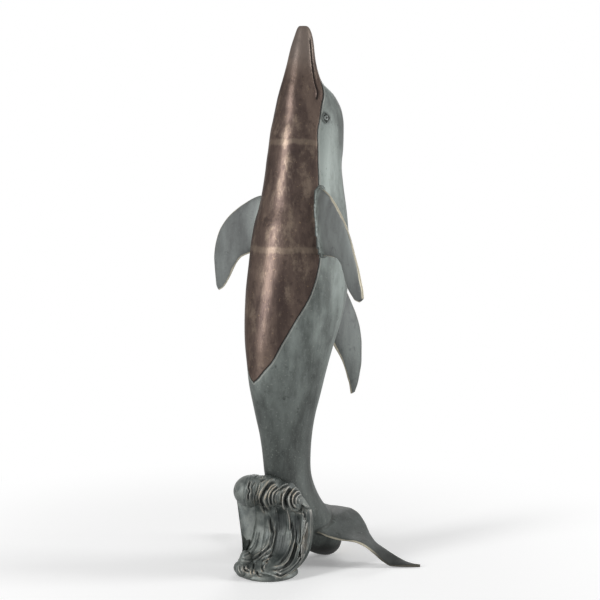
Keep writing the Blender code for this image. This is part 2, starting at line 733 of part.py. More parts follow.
def wave_axes():
    """The wave's width and forward directions."""
    turn = math.radians(WAVE_TURN)
    across = Vector((math.cos(turn), math.sin(turn), 0.0))
    forward = Vector((math.sin(turn), -math.cos(turn), 0.0))
    return across, forward


def wave_point(across_place, forward_place, z):
    """A point from its place in the wave's own directions."""
    across, forward = wave_axes()
    return across * across_place + forward * forward_place + Vector((0.0, 0.0, z))


def strand(place):
    """Height of the strand ridges across the wave."""
    if place < WAVE_NOSE_END:
        return 0.0
    turn = math.pi * WAVE_STRANDS * place
    ridge = WAVE_STRAND_SHARE * math.sin(turn)
    ridge += (1.0 - WAVE_STRAND_SHARE) * math.sin(WAVE_STRAND_SLOW * turn + WAVE_STRAND_SHIFT)
    return ridge * WAVE_STRAND_DEPTH


def end_round(place):
    """Share of the full thickness, falling in a quarter circle at both ends of the wave."""
    low = (WAVE_NOSE_END - place) / (1.0 + WAVE_NOSE_END)
    high = (place - WAVE_RIM_START) / (1.0 - WAVE_RIM_START)
    off = min(WAVE_END_LIMIT, max(0.0, low, high))
    return math.sqrt(1.0 - off * off)


def sheet_across(place, z):
    """Where a strand of the sheet lies across the width: below, strands bend to the splash."""
    left = hermite(WAVE_SHEET_MM, 3, z / MM) * MM
    top_left = WAVE_SHEET_MM[-1][3] * MM
    top = top_left + (WAVE_SHEET_RIGHT - top_left) * (place + 1.0) * 0.5
    if top < WAVE_SPLASH_WIDE:
        share = (top - WAVE_SPLASH_WIDE) / (top_left - WAVE_SPLASH_WIDE)
        return WAVE_SPLASH_WIDE + (left - WAVE_SPLASH_WIDE) * share
    fall = max(0.0, WAVE_FLOW_TOP - z) / WAVE_FLOW_DROP
    share = (1.0 - fall ** WAVE_FLOW_CURVE) ** (1.0 / WAVE_FLOW_CURVE)
    return WAVE_SPLASH_WIDE + (top - WAVE_SPLASH_WIDE) * share


def clear_of_tail(point):
    """The point itself, or the nearest one just outside the tail if it lies inside."""
    centre, half_width, half_depth, twist = body_values(point.z)
    left, back = axes(twist)
    off = point - Vector((0.0, centre, point.z))
    wide = off.dot(left) / (half_width + WAVE_TAIL_GAP)
    deep = off.dot(back) / (half_depth + WAVE_TAIL_GAP)
    reach = math.hypot(wide, deep)
    if reach >= 1.0:
        return point
    return point - off + off / reach


def curl_row(place):
    """The curl's forward place, the height of its middle and its radius, at a place across the wave."""
    forward, top, radius = [hermite(WAVE_CURL_MM, column, place) * MM for column in (1, 2, 3)]
    return forward, top - radius, radius * end_round(place) + strand(place)


def curl_arc(place):
    """Points over the curl, from its underside over the top to its back."""
    forward, height, radius = curl_row(place)
    under = math.radians(WAVE_UNDERSIDE)
    behind = math.radians(WAVE_BACKSIDE)
    middle = 0.5 * (WAVE_CURL_LEFT + WAVE_CURL_RIGHT)
    wide = middle + 0.5 * (WAVE_CURL_RIGHT - WAVE_CURL_LEFT) * place
    arc = []
    for k in range(WAVE_ROLL_POINTS):
        turn = under + (behind - under) * k / (WAVE_ROLL_POINTS - 1)
        arc.append((wide, forward + math.cos(turn) * radius, height + math.sin(turn) * radius))
    return arc


def sheet_sides(place, neck):
    """Points up the sheet's front, as far as the neck under the curl, and up its back."""
    low = WAVE_SHEET_MM[0][0] * MM
    top = WAVE_SHEET_MM[-1][0] * MM
    edge = WAVE_END_SHEET + (1.0 - WAVE_END_SHEET) * end_round(place)
    front = []
    back = []
    for k in range(WAVE_SHEET_ROWS):
        share = k / (WAVE_SHEET_ROWS - 1)
        row = low + (top - low) * share
        mid, half = [hermite(WAVE_SHEET_MM, column, row / MM) * MM for column in (1, 2)]
        half = half * edge + strand(place) * min(1.0, share * WAVE_RIDGE_RISE)
        wide = sheet_across(place, row)
        front.append((wide, mid + half, low + (neck - low) * share))
        back.append((wide, mid - half, row))
    return front, back


def nape(top, bottom, edge):
    """Points down the back of the neck, between the curl and the sheet."""
    points = []
    for k in range(1, WAVE_NAPE_POINTS + 1):
        share = k / (WAVE_NAPE_POINTS + 1)
        spot = [a + (b - a) * share for a, b in zip(top, bottom)]
        spot[1] -= WAVE_NAPE_BULGE * edge * math.sin(math.pi * share)
        points.append(spot)
    return points


def wave_ring(place):
    """One closed section of the wave's sheet and curl, at a place across it from -1 to 1."""
    arc = curl_arc(place)
    front, back = sheet_sides(place, arc[0][2] - WAVE_NECK_DROP)
    spots = front + arc + nape(arc[-1], back[-1], end_round(place)) + back[::-1]
    return [clear_of_tail(wave_point(*spot)) for spot in spots]


def make_wave_foot():
    """The low round foot, flat on the ground."""
    rings = []
    for height, share in WAVE_FOOT_LEVELS:
        ring = []
        for turn in turns_round(WAVE_FOOT_SIDES):
            wide = WAVE_FOOT_ACROSS + WAVE_FOOT_HALF_WIDE * share * math.cos(turn)
            deep = WAVE_FOOT_FORWARD + WAVE_FOOT_HALF_DEEP * share * math.sin(turn)
            ring.append(wave_point(wide, deep, WAVE_FOOT_HEIGHT * height))
        rings.append(ring)
    return loft("wave_foot", rings)


def make_splash(number, place):
    """One round lump of the splash at the foot."""
    wide, deep, height, radius = [value * MM for value in place]
    rings = []
    for tilt in SPLASH_TILTS:
        level = math.radians(tilt)
        ring = []
        for turn in turns_round(SPLASH_SIDES):
            out = radius * math.cos(level)
            z = height + (height - SPLASH_CLEAR) * math.sin(level)
            ring.append(wave_point(wide + out * math.cos(turn), deep + out * math.sin(turn), z))
        rings.append(ring)
    return loft("splash_%d" % number, rings)


def make_wave(look):
    """The curling wave that the tail leaps from, with its back hollowed to the tail."""
    places = [-1.0 + 2.0 * k / (WAVE_STATIONS - 1) for k in range(WAVE_STATIONS)]
    wave = loft_ladder("wave", [wave_ring(place) for place in places])
    boolean(wave, make_wave_foot(), "UNION")
    for number, place in enumerate(WAVE_SPLASH_MM, 1):
        boolean(wave, make_splash(number, place), "UNION")
    wave.data.materials.append(look)
    smooth(wave, 40.0)
    return wave


def main():
    for thing in list(bpy.data.objects):
        bpy.data.objects.remove(thing, do_unlink=True)
    patina = material("verdigris_brass", (0.19, 0.22, 0.21), 0.5, 0.5)
    wave_look = material("dark_wave_brass", (0.14, 0.16, 0.15), 0.5, 0.5)
    copper = material("copper_tube", (0.55, 0.3, 0.2), 0.35, 1.0)
    brass = material("yellow_brass", (0.6, 0.46, 0.24), 0.35, 1.0)
    make_dolphin(patina)
    make_wave(wave_look)
    make_tube(copper)
    make_fitting(brass)


main()
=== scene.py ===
# Looks of the dolphin spitter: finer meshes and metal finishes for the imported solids.
# Metres, +Z up. The dolphin's back faces +Y, its belly -Y, and its left side +X.

import math

import bpy
import numpy as np
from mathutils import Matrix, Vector
from mathutils.kdtree import KDTree

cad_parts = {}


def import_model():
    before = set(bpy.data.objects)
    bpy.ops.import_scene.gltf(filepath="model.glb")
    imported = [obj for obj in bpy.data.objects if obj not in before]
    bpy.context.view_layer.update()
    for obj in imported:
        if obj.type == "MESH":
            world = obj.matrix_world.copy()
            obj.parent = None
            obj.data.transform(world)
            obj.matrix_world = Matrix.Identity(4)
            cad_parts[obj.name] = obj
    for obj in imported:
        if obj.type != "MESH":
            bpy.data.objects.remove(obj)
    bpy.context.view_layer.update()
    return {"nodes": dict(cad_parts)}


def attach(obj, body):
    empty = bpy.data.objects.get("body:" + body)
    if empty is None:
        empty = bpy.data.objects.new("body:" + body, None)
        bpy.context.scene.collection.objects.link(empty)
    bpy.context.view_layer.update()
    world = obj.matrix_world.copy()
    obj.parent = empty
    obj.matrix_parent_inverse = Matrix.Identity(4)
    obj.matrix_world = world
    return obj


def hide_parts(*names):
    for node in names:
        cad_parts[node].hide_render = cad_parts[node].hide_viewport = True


MM = 0.001

# Camera of the photograph
CAMERA_AZIMUTH = 40.0        # degrees from the belly towards the dolphin's left
CAMERA_DISTANCE = 2.4
CAMERA_HEIGHT = 0.74
CAMERA_AIM_HEIGHT = 0.4715
CAMERA_SHIFT = 0.048         # sideways, of the camera and of what it aims at
CAMERA_LENS = 86.0
CAMERA_SENSOR = 36.0

# Body, from the beak's tip down: height, centre in Y, half width, half depth, twist in degrees
BODY_MM = (
    (931, 83, 7, 6.6, 4),
    (929, 83.5, 9.5, 9, 4),
    (924, 84, 12.5, 12, 4),
    (916, 84, 15.2, 14.6, 4),
    (898, 81.5, 19.8, 19, 4),
    (873, 79, 24.3, 23.4, 4),
    (853, 78.5, 29, 28.5, 4),
    (834, 80, 35.3, 35.3, 4),
    (820, 90, 42.5, 49, 4),
    (806, 94, 48, 56, 4),
    (791, 97, 53, 61, 4),
    (776, 97, 56, 64, 4),
    (756, 94, 59, 66.5, 4),
    (723, 90, 60.5, 68, 5),
    (697, 85, 61, 68.5, 5),
    (672, 84, 63.5, 71, 6),
    (630, 82.5, 69, 78.5, 6),
    (596, 78, 75, 85.5, 6),
    (545, 74.5, 80, 91, 7),
    (485, 66.5, 79.5, 93.5, 8),
    (459, 62.5, 77, 93, 8),
    (418, 53.5, 71, 88, 9),
    (390, 47.5, 65, 83.5, 9),
    (362, 43.5, 58.5, 78.5, 9),
    (326, 39.5, 50, 73.5, 8),
    (294, 38.5, 43, 67.5, 6),
    (268, 37.5, 38, 62, 4),
    (238, 38.5, 33, 57.5, 1),
    (209, 39.5, 30, 56, -2),
    (179, 41, 29, 55, -4),
    (155, 45, 31, 53, -5),
    (133, 53, 34, 53, -5),
    (111, 65, 37, 54, -5),
    (94, 80, 38.5, 54, -5),
    (74, 98, 40, 56, -5),
    (54, 113, 41, 57, -5),
    (34, 125, 39.5, 49, -5),
    (18, 134, 33, 37.5, -5),
    (7, 142, 22, 25, -5),
    (0, 148, 9, 10, -5),
)
BODY_SEGMENTS = 168
# Ring spacing: from this height up, rings this far apart
BODY_RING_STEPS_MM = ((0.0, 2.0), (160.0, 3.0), (735.0, 1.8))
BODY_SOFTEN_MM = 5.0         # the profile is smoothed over this distance
BODY_SOFTEN_REACH_MM = 20    # and no farther than this
BODY_SOFTEN_ENDS_MM = 14.0   # but not this close to its ends
SPOUT_RIM = 6.2 * MM
SPOUT_BORE = 5.05 * MM
SPOUT_CHAMFER = 1.0 * MM
SPOUT_BORE_DEPTH = 14.0 * MM

# Edge of the belly plate: height, angle from the middle of the belly in degrees
SEAM_TABLE = (
    (334, 0),
    (341, 10),
    (353.5, 21),
    (373, 35),
    (404, 45.6),
    (427, 52.5),
    (448, 58),
    (466, 63.4),
    (485, 68),
    (508, 71.6),
    (530, 73),
    (548, 73.3),
    (574, 72.4),
    (615, 71),
    (653, 70.8),
    (673, 70.8),
    (706, 68.5),
    (728, 65.7),
    (756, 63.2),
    (773, 65.4),
    (789, 69),
    (800, 73.5),
    (811, 81.5),
    (823, 92),
    (837, 117),
    (843, 140),
    (848, 185),
)
FAR_MM = 60.0                # distances kept on the vertices stop here

# Mouth line: height, degrees from the middle of the belly
GAPE_MM = (
    (808, 66.5),
    (825, 77.5),
    (840, 85),
    (873, 90),
    (890, 89),
    (910, 86),
)
GAPE_DEPTH = 2.6 * MM
GAPE_WIDTH_MM = 1.5
GAPE_FADE_MM = 6.0           # it dies out over this distance at both ends

# Eyes: middle, size of the ball, and the lids' outline round it, towards the back and up
EYE_Z = 776.0 * MM
EYE_ANGLE = 77.0
EYE_LONG = 12.0 * MM
EYE_HIGH = 9.0 * MM
EYE_PROUD = 3.0 * MM
EYE_FOOT = 2.0               # degrees to both sides, over which the head's slope is taken
EYE_LID_MM = (
    (-5.0, 4.5),
    (-1.5, 9.0),
    (2.0, 6.5),
    (7.5, 0.5),
    (3.0, -5.5),
    (-1.5, -9.0),
    (-5.0, -4.0),
    (-6.0, 0.0),
)
EYE_LID_RADIUS = 1.3 * MM
EYE_LID_STEP_MM = 0.7
EYE_LID_SIDES = 12
EYE_ROWS = 24
EYE_SIDES = 40
EYE_ZONE_MM = 14.0           # the head keeps its finish this close to the eye
POLE_ANGLE = 85.0            # balls end in a small flat this far up, in degrees

# Fins: distance out and height, leading and trailing edge
LEFT_PECTORAL_MM = (
    (-22, 662, -22, 550),
    (12, 656, 14, 548),
    (33, 648, 41, 547.5),
    (49, 637, 55, 546.5),
    (67, 619.5, 62.5, 543),
    (80, 604.5, 70, 536.5),
    (96.5, 577.5, 77, 522),
    (107.5, 554.5, 81.5, 510),
    (118.5, 530.5, 88, 498.5),
    (124, 511.5, 99, 487),
    (127.5, 498, 105, 481.5),
    (126.5, 487, 114.5, 479),
)
RIGHT_PECTORAL_MM = (
    (-22, 648, -22, 550),
    (12, 643, 12, 547),
    (44.5, 628, 42, 538),
    (62, 617.5, 50.5, 534),
    (79.5, 604, 56.5, 529),
    (91.5, 591, 62.5, 522),
    (100.5, 578, 68.5, 512.5),
    (107, 562.5, 74.5, 502.5),
    (111.5, 547, 82.5, 490.5),
    (114, 529, 91, 480.5),
    (113, 505, 98.5, 475),
    (111.5, 483, 105.5, 472),
)
PECTORAL_ROOT_Y = 75.0 * MM
PECTORAL_ROOT_OUT = 70.0 * MM
PECTORAL_ROOT_FORWARD = 15.0 * MM
PECTORAL_TWIST = 7.0
PECTORAL_SWEEP = 11.0
PECTORAL_BOW = 7.0 * MM
PECTORAL_THICK_ROOT = 24.0 * MM
PECTORAL_THICK_TIP = 5.0 * MM
DORSAL_MM = (
    (52, 535, 34, 418),
    (95, 512, 62, 407),
    (115, 481, 81, 391),
    (131, 453, 95, 372),
    (143, 430, 107, 355),
    (152, 404, 114, 342),
    (156, 376, 119, 330),
    (156, 348, 123, 318),
    (152, 325, 127.5, 306),
    (147, 306, 129.5, 296),
    (140.5, 292, 131, 288.5),
)
DORSAL_ROOT_Y = 60.0 * MM
DORSAL_TWIST = 10.0
DORSAL_THICK_ROOT = 22.0 * MM
DORSAL_THICK_TIP = 5.0 * MM
FLUKE_MIDDLE_MM = (
    (0, 22, 66, 137, 80),
    (20, 26, 65, 139, 81),
    (38, 34, 61, 140, 81),
)
LEFT_FLUKE_MM = FLUKE_MIDDLE_MM + (
    (54, 45, 53, 141, 76),
    (73, 57, 47, 136, 62),
    (94, 66, 46, 124, 43),
    (110, 74, 40, 119, 32),
    (126, 82, 27, 121, 24),
    (140, 91, 12, 124, 17),
    (152, 100, 3.6, 127, 11),
    (166, 110, 3, 129, 6),
    (181, 122, 2.7, 132, 3.2),
    (190, 131, 2.6, 134, 2.7),
)
RIGHT_FLUKE_MM = FLUKE_MIDDLE_MM + (
    (54, 45, 55, 141, 76),
    (73, 57, 50, 136, 63),
    (94, 66, 47, 126, 46),
    (112, 74, 43, 121, 35),
    (126, 82, 42, 122, 29),
    (138, 89, 42, 126, 25),
    (149, 95, 43, 130, 22),
    (159, 101, 44, 134, 21),
    (168, 107, 44, 137, 23),
    (175, 116, 40, 135, 28),
)
FLUKE_ROOT_Y = 39.0 * MM
FLUKE_TWIST = -5.0
FLUKE_THICK_ROOT = 15.0 * MM
LEFT_FLUKE_THICK_TIP = 5.0 * MM
RIGHT_FLUKE_THICK_TIP = 11.0 * MM
FLUKE_THINNING = 1.3
FLUKE_STATIONS = 70
FIN_STATIONS = 70
FIN_RING_POINTS = 44
FIN_FULLNESS = 0.8
FIN_FLARE = 0.16
FILLET_REACH = 9.0 * MM      # the welds between fins and body are rounded this far out
FILLET_ROUNDS = 24
FILLET_FALL = 1.5
FIN_CLEAR = 0.4 * MM         # what stands this far off the body counts as fin
ROOT_LINE = 0.8 * MM         # what lies this close to the line between fin and body marks it

# The photograph's frame, for what is placed by its pixels
PHOTO_SIZE = 600.0
# Grooves of the wave, traced in the photograph's pixels: width and depth in mm, points along each.
# A depth below nothing is a raised line.
WAVE_GROOVES_PX = (
    # Nose seam
    (1.6, 2.2, ((250.4, 479.5), (248.6, 487.2), (249.9, 491.1), (248.4, 495.6), (248.6, 501.5))),
    # Nose fold
    (1.4, 1, ((237, 482), (234.6, 486.5), (235.6, 491.5), (238.5, 497))),
    # Fold 1
    (1.3, 1.2, ((256.5, 480), (253.4, 484.4), (252, 489), (252.6, 494), (252.6, 500), (254, 505))),
    # Fold 2
    (1.4, 1.6, ((258.5, 486), (257, 492), (255, 497.5), (255.6, 503), (257, 508))),
    # Fold 3
    (1.3, 1.2, ((263.5, 483), (260.5, 487.5), (258.8, 493), (258.2, 499), (259, 505), (261.5, 511))),
    # Crest groove
    (2.2, 2.4, ((260.2, 481.3), (263, 479.5), (266.2, 478))),
    # Middle rim
    (3, 4.6, (
        (276.5, 481.2), (273.6, 481.8), (270.4, 483.4), (267.7, 486.7), (265.4, 490), (263.6, 493.5),
        (262, 497), (261.2, 500.8), (262.1, 504), (263.8, 507.2), (266, 510.2), (269.3, 513.6),
    )),
    # Middle arc 1
    (1.5, 1.8, (
        (276.5, 484.6), (272.3, 487), (269.6, 490.5), (267.6, 495), (267, 500), (268.1, 504),
        (270.6, 507.6),
    )),
    # Middle arc 2
    (1.8, 2.6, (
        (279, 485.5), (276, 488.2), (273.2, 490.8), (271.4, 494), (270.6, 497.5), (270.6, 501),
        (271.6, 504.5), (273.6, 507.2),
    )),
    # Middle arc 3
    (1.5, 1.6, ((281.6, 488.8), (277.6, 491), (275.2, 494), (274.2, 498), (274.4, 502), (275.8, 505))),
    # Middle arc 4
    (1.8, 2.6, ((288.8, 485), (285, 486.1), (281.6, 488.6), (279.8, 491))),
    # Middle arc 5
    (1.6, 2, ((286.2, 490.6), (283.2, 492.8), (281.8, 496.5), (281.6, 501), (281, 505))),
    # Right rim
    (3.4, 6, (
        (292.5, 487.6), (289.2, 491), (287, 494.4), (285.8, 498.3), (285.6, 502.2), (286.5, 506.1),
        (288.4, 509.4),
    )),
    # Right arc 1
    (2.2, 3.6, (
        (301, 489.8), (296.8, 489.4), (293.8, 491.7), (291.6, 494.6), (290.8, 499), (291.6, 504.2),
        (294, 508.6), (298, 509.9),
    )),
    # Right arc 2
    (1.9, 3.2, (
        (302.5, 492.6), (299, 493.2), (296.2, 495.3), (294.6, 498.5), (294.2, 502), (295.2, 505.8),
    )),
    # Right arc 3
    (1.5, 1.8, ((304.8, 495.6), (300.6, 496.2), (298.2, 498.6), (297.6, 502), (298.6, 505.4))),
    # Right arc 4
    (1.6, 2, ((306.4, 496), (309.2, 499), (310.4, 503.2), (309.8, 508), (307.6, 512))),
    # Right arc 5
    (1.7, 2.2, ((299.5, 508.2), (302.2, 509.6), (304.6, 513), (304.8, 518), (303.5, 524))),
    # Hollow left
    (2.2, 3.2, (
        (268, 514.5), (269.8, 519), (270.6, 524), (271.6, 529), (272.9, 533.9), (271.6, 538.8),
        (270.6, 544), (267.5, 548.3), (262.1, 552.6), (258.8, 555.4), (254.3, 558.2), (249.5, 559.4),
    )),
    # Hollow right
    (2, 3, (
        (291.4, 519.5), (291.8, 525), (292.8, 531), (293.4, 537), (292, 543.4), (289.4, 549.6),
        (286.2, 555.4), (281.8, 561), (276.4, 565),
    )),
    # Ridge
    (1.5, -1.8, ((286.8, 509.2), (288.6, 514.5), (289.6, 520), (289.9, 526), (289.9, 531))),
    # Sweep 1
    (2.4, 3.6, (
        (296.6, 541), (295.4, 547.8), (293.8, 553), (292.1, 558.2), (289.6, 562.2), (284.9, 566),
        (278.8, 568.3), (270.4, 569),
    )),
    # Sweep 2
    (2.2, 3.4, (
        (301.2, 545), (301.9, 552), (301.6, 557.6), (299.3, 562.2), (295.4, 566.7), (289.9, 571),
        (284.3, 573.9), (280.4, 575.4), (276, 573.9), (272.1, 572.3),
    )),
    # Sweep 3
    (1.4, 1.8, ((306, 541), (305.8, 545.5), (304.8, 550), (303.6, 554.6))),
    # Sweep 4
    (1.6, 1.8, ((298.2, 517), (299.4, 524), (300.6, 532), (300.4, 539.5), (298, 545))),
    # Sweep 5
    (1.3, 1.2, ((305.4, 520), (305, 528), (304.6, 535), (303.2, 541))),
    # Flank 1
    (1.5, 1.6, ((259.5, 531), (258.4, 538), (256.6, 545), (253, 550.4), (249.6, 553), (243, 556.6))),
    # Flank 2
    (1.3, 1.1, ((256.6, 531), (255.4, 539), (252.4, 545.6), (248.8, 549.5))),
    # Flank 3
    (1.3, 1.4, ((266.8, 539), (265.6, 545), (261.5, 550), (256.6, 553))),
    # Eddy 1
    (1.5, 2.2, ((270.6, 549.6), (266, 553.2), (261.6, 557), (258.5, 560.2))),
    # Eddy 2
    (1.9, 3.2, ((272.6, 554), (269.2, 556.8), (264.6, 558.6), (261, 561))),
    # Middle of the eddy
    (2.6, 5, ((266.2, 560.2), (268.2, 561.4))),
    # Splash 1
    (1.8, 2.6, ((263.2, 563), (262.2, 567.5), (264.2, 571.4))),
    # Splash 2
    (1.8, 2.6, ((254.2, 561.5), (253.6, 566), (252.2, 571), (252.6, 575))),
    # Splash 3
    (1.8, 3, ((244.6, 564.8), (244.4, 568.4), (246.4, 570.6), (249.4, 571.4))),
    # Splash 4
    (1.6, 2.2, ((256.8, 571.6), (258.2, 574.6), (261.6, 576.2))),
    # Splash 5
    (1.4, 1.8, ((241.4, 559.2), (246.5, 559.8), (252, 560.4))),
    # Splash 6
    (1.3, 1.6, ((240.2, 565), (240, 569.5), (242.2, 573.5))),
)
GROOVE_STEP_PX = 0.4         # the traced lines are rounded into points this far apart
GROOVE_ENDS = 0.12           # share of each line over which it dies out at its ends
GROOVE_LIP = 0.22            # raised lips beside each groove, as a share of its depth
GROOVE_END_DEPTH = 0.15      # share of the depth that is left there
GROOVE_REACH = 3.0           # grooves act this far out, in pixels for each mm of width
GROOVE_FALL = 1.4            # steepness of a groove's sides
GROOVE_LIP_OFF = 1.7         # the lips lie this far out, in widths
GROOVE_LIP_FALL = 2.5
GROOVE_FACING = 0.35         # full depth where the surface faces the photograph by this cosine or more
GROOVE_FLOOR = 4.0 * MM      # the carving dies out towards the ground from this height
# Hollows under the curl, dented to the depth given and darkened with painted shade: place and half sizes in
# the photograph's pixels, depth in mm
WAVE_HOLLOWS_AND_PAINTED_SHADE_PX = (
    (279.5, 524, 8, 13, 3.5),
    (281, 545, 8, 13, 2),
    (297, 527, 4, 12, 1.5),
)

# Wave
WAVE_TURN = 18.0
WAVE_STATIONS = 230
WAVE_ARC_POINTS = 100
WAVE_FRONT_ROWS = 130
WAVE_BACK_ROWS = 16
WAVE_NOSE_END = -0.55
WAVE_RIM_START = 0.82
WAVE_END_LIMIT = 0.995
WAVE_END_SHEET = 0.25
WAVE_NECK_DROP = 5.0 * MM
WAVE_FLOW_TOP = 104.0 * MM
WAVE_FLOW_DROP = 103.0 * MM
WAVE_FLOW_CURVE = 4.0
WAVE_SPLASH_WIDE = -24.0 * MM
WAVE_SHEET_MM = (
    (2, 20, 30, -47),
    (12, 17, 31, -49),
    (24, 5, 25, -46.5),
    (38, -7, 19, -41.5),
    (56, -14, 15, -38),
    (76, -17, 13, -36),
    (96, -16, 13, -39),
    (112, -9, 14, -43),
)
WAVE_SHEET_RIGHT = 67.0 * MM
WAVE_CURL_MM = (
    (-1, 27, 171, 25),
    (-0.55, 27, 173.5, 27),
    (-0.45, 26, 175, 28.5),
    (-0.09, 22, 173.5, 19),
    (-0.07, 19, 175, 28),
    (0.2, 17, 172, 25),
    (0.57, 13, 163, 17),
    (0.6, 9, 163.5, 25),
    (0.78, 6, 155, 21),
    (1, 2, 143, 16),
)
WAVE_CURL_LEFT = -57.5 * MM
WAVE_CURL_RIGHT = 56.0 * MM
WAVE_UNDERSIDE = -112.0
WAVE_BACKSIDE = 160.0
WAVE_NAPE_POINTS = 10
WAVE_NAPE_BULGE = 4.0 * MM
WAVE_TAIL_GAP = 0.5 * MM
WAVE_FOOT_ACROSS = -4.0 * MM
WAVE_FOOT_FORWARD = 10.0 * MM
WAVE_FOOT_HALF_WIDE = 52.5 * MM
WAVE_FOOT_HALF_DEEP = 51.0 * MM
WAVE_FOOT_HEIGHT = 13.0 * MM
WAVE_FOOT_ROWS = 36
WAVE_FOOT_SIDES = 220
WAVE_FOOT_LEVELS = ((0.0, 0.93), (0.25, 1.0), (0.6, 0.97), (0.85, 0.86), (1.0, 0.66))
# Fine strands of the sheet: ridges over half its width, start in radians, roundness, height in mm
WAVE_STRANDS = ((4.6, 0.6, 0.7, 1.1), (10.7, 0.2, 0.8, 0.5))
WAVE_STRAND_START = 0.03
WAVE_STRAND_BEND = (0.02, 9.0, 1.0)
WAVE_STRAND_LOW = 1.1
SPLASH_CLEAR = 1.0 * MM
SPLASH_ROWS = 36
SPLASH_SIDES = 56
WAVE_SPLASH_MM = (
    (-43, 34, 13, 13),
    (-34, 47, 12, 12),
    (-17, 52, 10, 10),
    (-47, 12, 14, 12),
    (-36, 30, 22, 12),
)

# Patina: colour at brightness 1, its brightness at heights in metres, and what lies on it
PATINA = (0.94, 1.06, 1.0)
PATINA_LEVELS = (
    (0.0, 0.09),
    (0.1, 0.075),
    (0.2, 0.07),
    (0.28, 0.1),
    (0.38, 0.15),
    (0.55, 0.2),
    (0.68, 0.2),
    (0.8, 0.15),
    (1.0, 0.15),
)
PATINA_SPOT = (0.035, 0.04, 0.038)
PATINA_SPECK = (0.36, 0.39, 0.35)
FIN_GREY = (0.085, 0.085, 0.088)
RIM_WORN = (0.5, 0.46, 0.36)
# Painted shade in the crease where the fins meet the body
FIN_ROOT_PAINTED_SHADE = (0.02, 0.022, 0.02)
# Painted shade that turns the heel, in the shadow under the flukes, nearly black
HEEL_PAINTED_SHADE = (0.012, 0.013, 0.012)
# Belly plate: bronze, its rubbed patches, dark spots and golden specks, the beak's grey, the pale welds
BRONZE_LOW = (0.05, 0.036, 0.032)
BRONZE_HIGH = (0.12, 0.088, 0.072)
BRONZE_PATCH = (0.2, 0.155, 0.12)
BRONZE_SPOT = (0.03, 0.022, 0.02)
BRONZE_SPECK = (0.4, 0.28, 0.16)
BEAK_GREY = (0.2, 0.17, 0.15)
WELD_PALE = (0.3, 0.24, 0.18)
WELD_BANDS = (0.746, 0.567)  # heights in metres
WELD_HALF = 0.007
LINE_DARK = (0.012, 0.011, 0.01)
# Painted highlight along the raised lip beside the belly plate's edge
SEAM_LIP_PAINTED_HIGHLIGHT = (0.45, 0.44, 0.4)
GRAZING_TINT = (0.45, 0.43, 0.42, 1.0)
EYE_SHADE = (0.03, 0.032, 0.03)
# Painted shade in the groove between the eyeball and its lids
EYE_GROOVE_PAINTED_SHADE = (0.012, 0.012, 0.011)
EYE_PALE = (0.22, 0.24, 0.23)
EYE_PUPIL = (0.03, 0.03, 0.03)
WAVE_LOW = (0.05, 0.06, 0.057)
WAVE_HIGH = (0.17, 0.185, 0.172)
WAVE_WORN = (0.38, 0.37, 0.34)
WAVE_OCHRE = (0.46, 0.38, 0.28)
WAVE_GROOVE = (0.014, 0.016, 0.015)
# Painted shade in the hollows under the curl
WAVE_HOLLOW_PAINTED_SHADE = (0.02, 0.024, 0.024)
COPPER = ((0.42, 0.2, 0.13), (0.6, 0.33, 0.22), (0.35, 0.5))
YELLOW_BRASS = ((0.45, 0.33, 0.15), (0.62, 0.48, 0.26), (0.3, 0.45))

WORLD_LIGHT = 0.24
# Lamps: name, place, size across and up, power in watts
LAMPS = (
    ("key", (-0.69, -2.4, 1.1), 0.5, 1.6, 52.0),
    ("side", (1.9, 1.6, 1.0), 0.7, 1.6, 40.0),
    ("back", (-1.2, 2.0, 1.6), 1.2, 1.2, 15.0),
)
LAMP_AIM = Vector((0.0, 0.05, 0.45))
FLOOR_RADIUS = 3.0
FLOOR_SIDES = 96
FLOOR_GREY = (0.9, 0.9, 0.9, 1.0)
FLOOR_LIFT = 0.22            # light of its own, which keeps the shadow soft
FLOOR_FADE = (0.35, 0.9)     # it turns white between these distances from the middle
WHITE = (1.0, 1.0, 1.0, 1.0)


def hermite(table, column, x):
    """Smooth values of one column of a table, at an array of places in its first column."""
    rows = np.array(sorted(table), float)
    xs = rows[:, 0]
    ys = rows[:, column]
    steps = np.diff(ys) / np.diff(xs)
    product = steps[:-1] * steps[1:]
    total = np.where(product > 0.0, steps[:-1] + steps[1:], 1.0)
    inner = np.where(product > 0.0, 2.0 * product / total, 0.0)
    slopes = np.concatenate(([steps[0]], inner, [steps[-1]]))
    x = np.clip(np.asarray(x, float), xs[0], xs[-1])
    i = np.clip(np.searchsorted(xs, x, side="right") - 1, 0, len(xs) - 2)
    span = xs[i + 1] - xs[i]
    t = (x - xs[i]) / span
    near = (1.0 + 2.0 * t) * (1.0 - t) ** 2 * ys[i] + t * (1.0 - t) ** 2 * span * slopes[i]
    far = t * t * (3.0 - 2.0 * t) * ys[i + 1] - t * t * (1.0 - t) * span * slopes[i + 1]
    return near + far


def soft_profile():
    """The body's table read off every millimetre and smoothed a little, so that light runs evenly over it."""
    heights = np.arange(BODY_MM[-1][0], BODY_MM[0][0] + 0.5, 1.0)
    reach = np.arange(-BODY_SOFTEN_REACH_MM, BODY_SOFTEN_REACH_MM + 1)
    weights = np.exp(-0.5 * (reach / BODY_SOFTEN_MM) ** 2)
    weights /= weights.sum()
    end = np.minimum(heights - heights[0], heights[-1] - heights)
    keep = np.clip(1.0 - end / BODY_SOFTEN_ENDS_MM, 0.0, 1.0)
    columns = [heights]
    for column in (1, 2, 3, 4):
        sharp = hermite(BODY_MM, column, heights)
        soft = np.convolve(np.pad(sharp, BODY_SOFTEN_REACH_MM, mode="edge"), weights, mode="valid")
        columns.append(sharp * keep + soft * (1.0 - keep))
    return np.array(columns)


PROFILE = soft_profile()


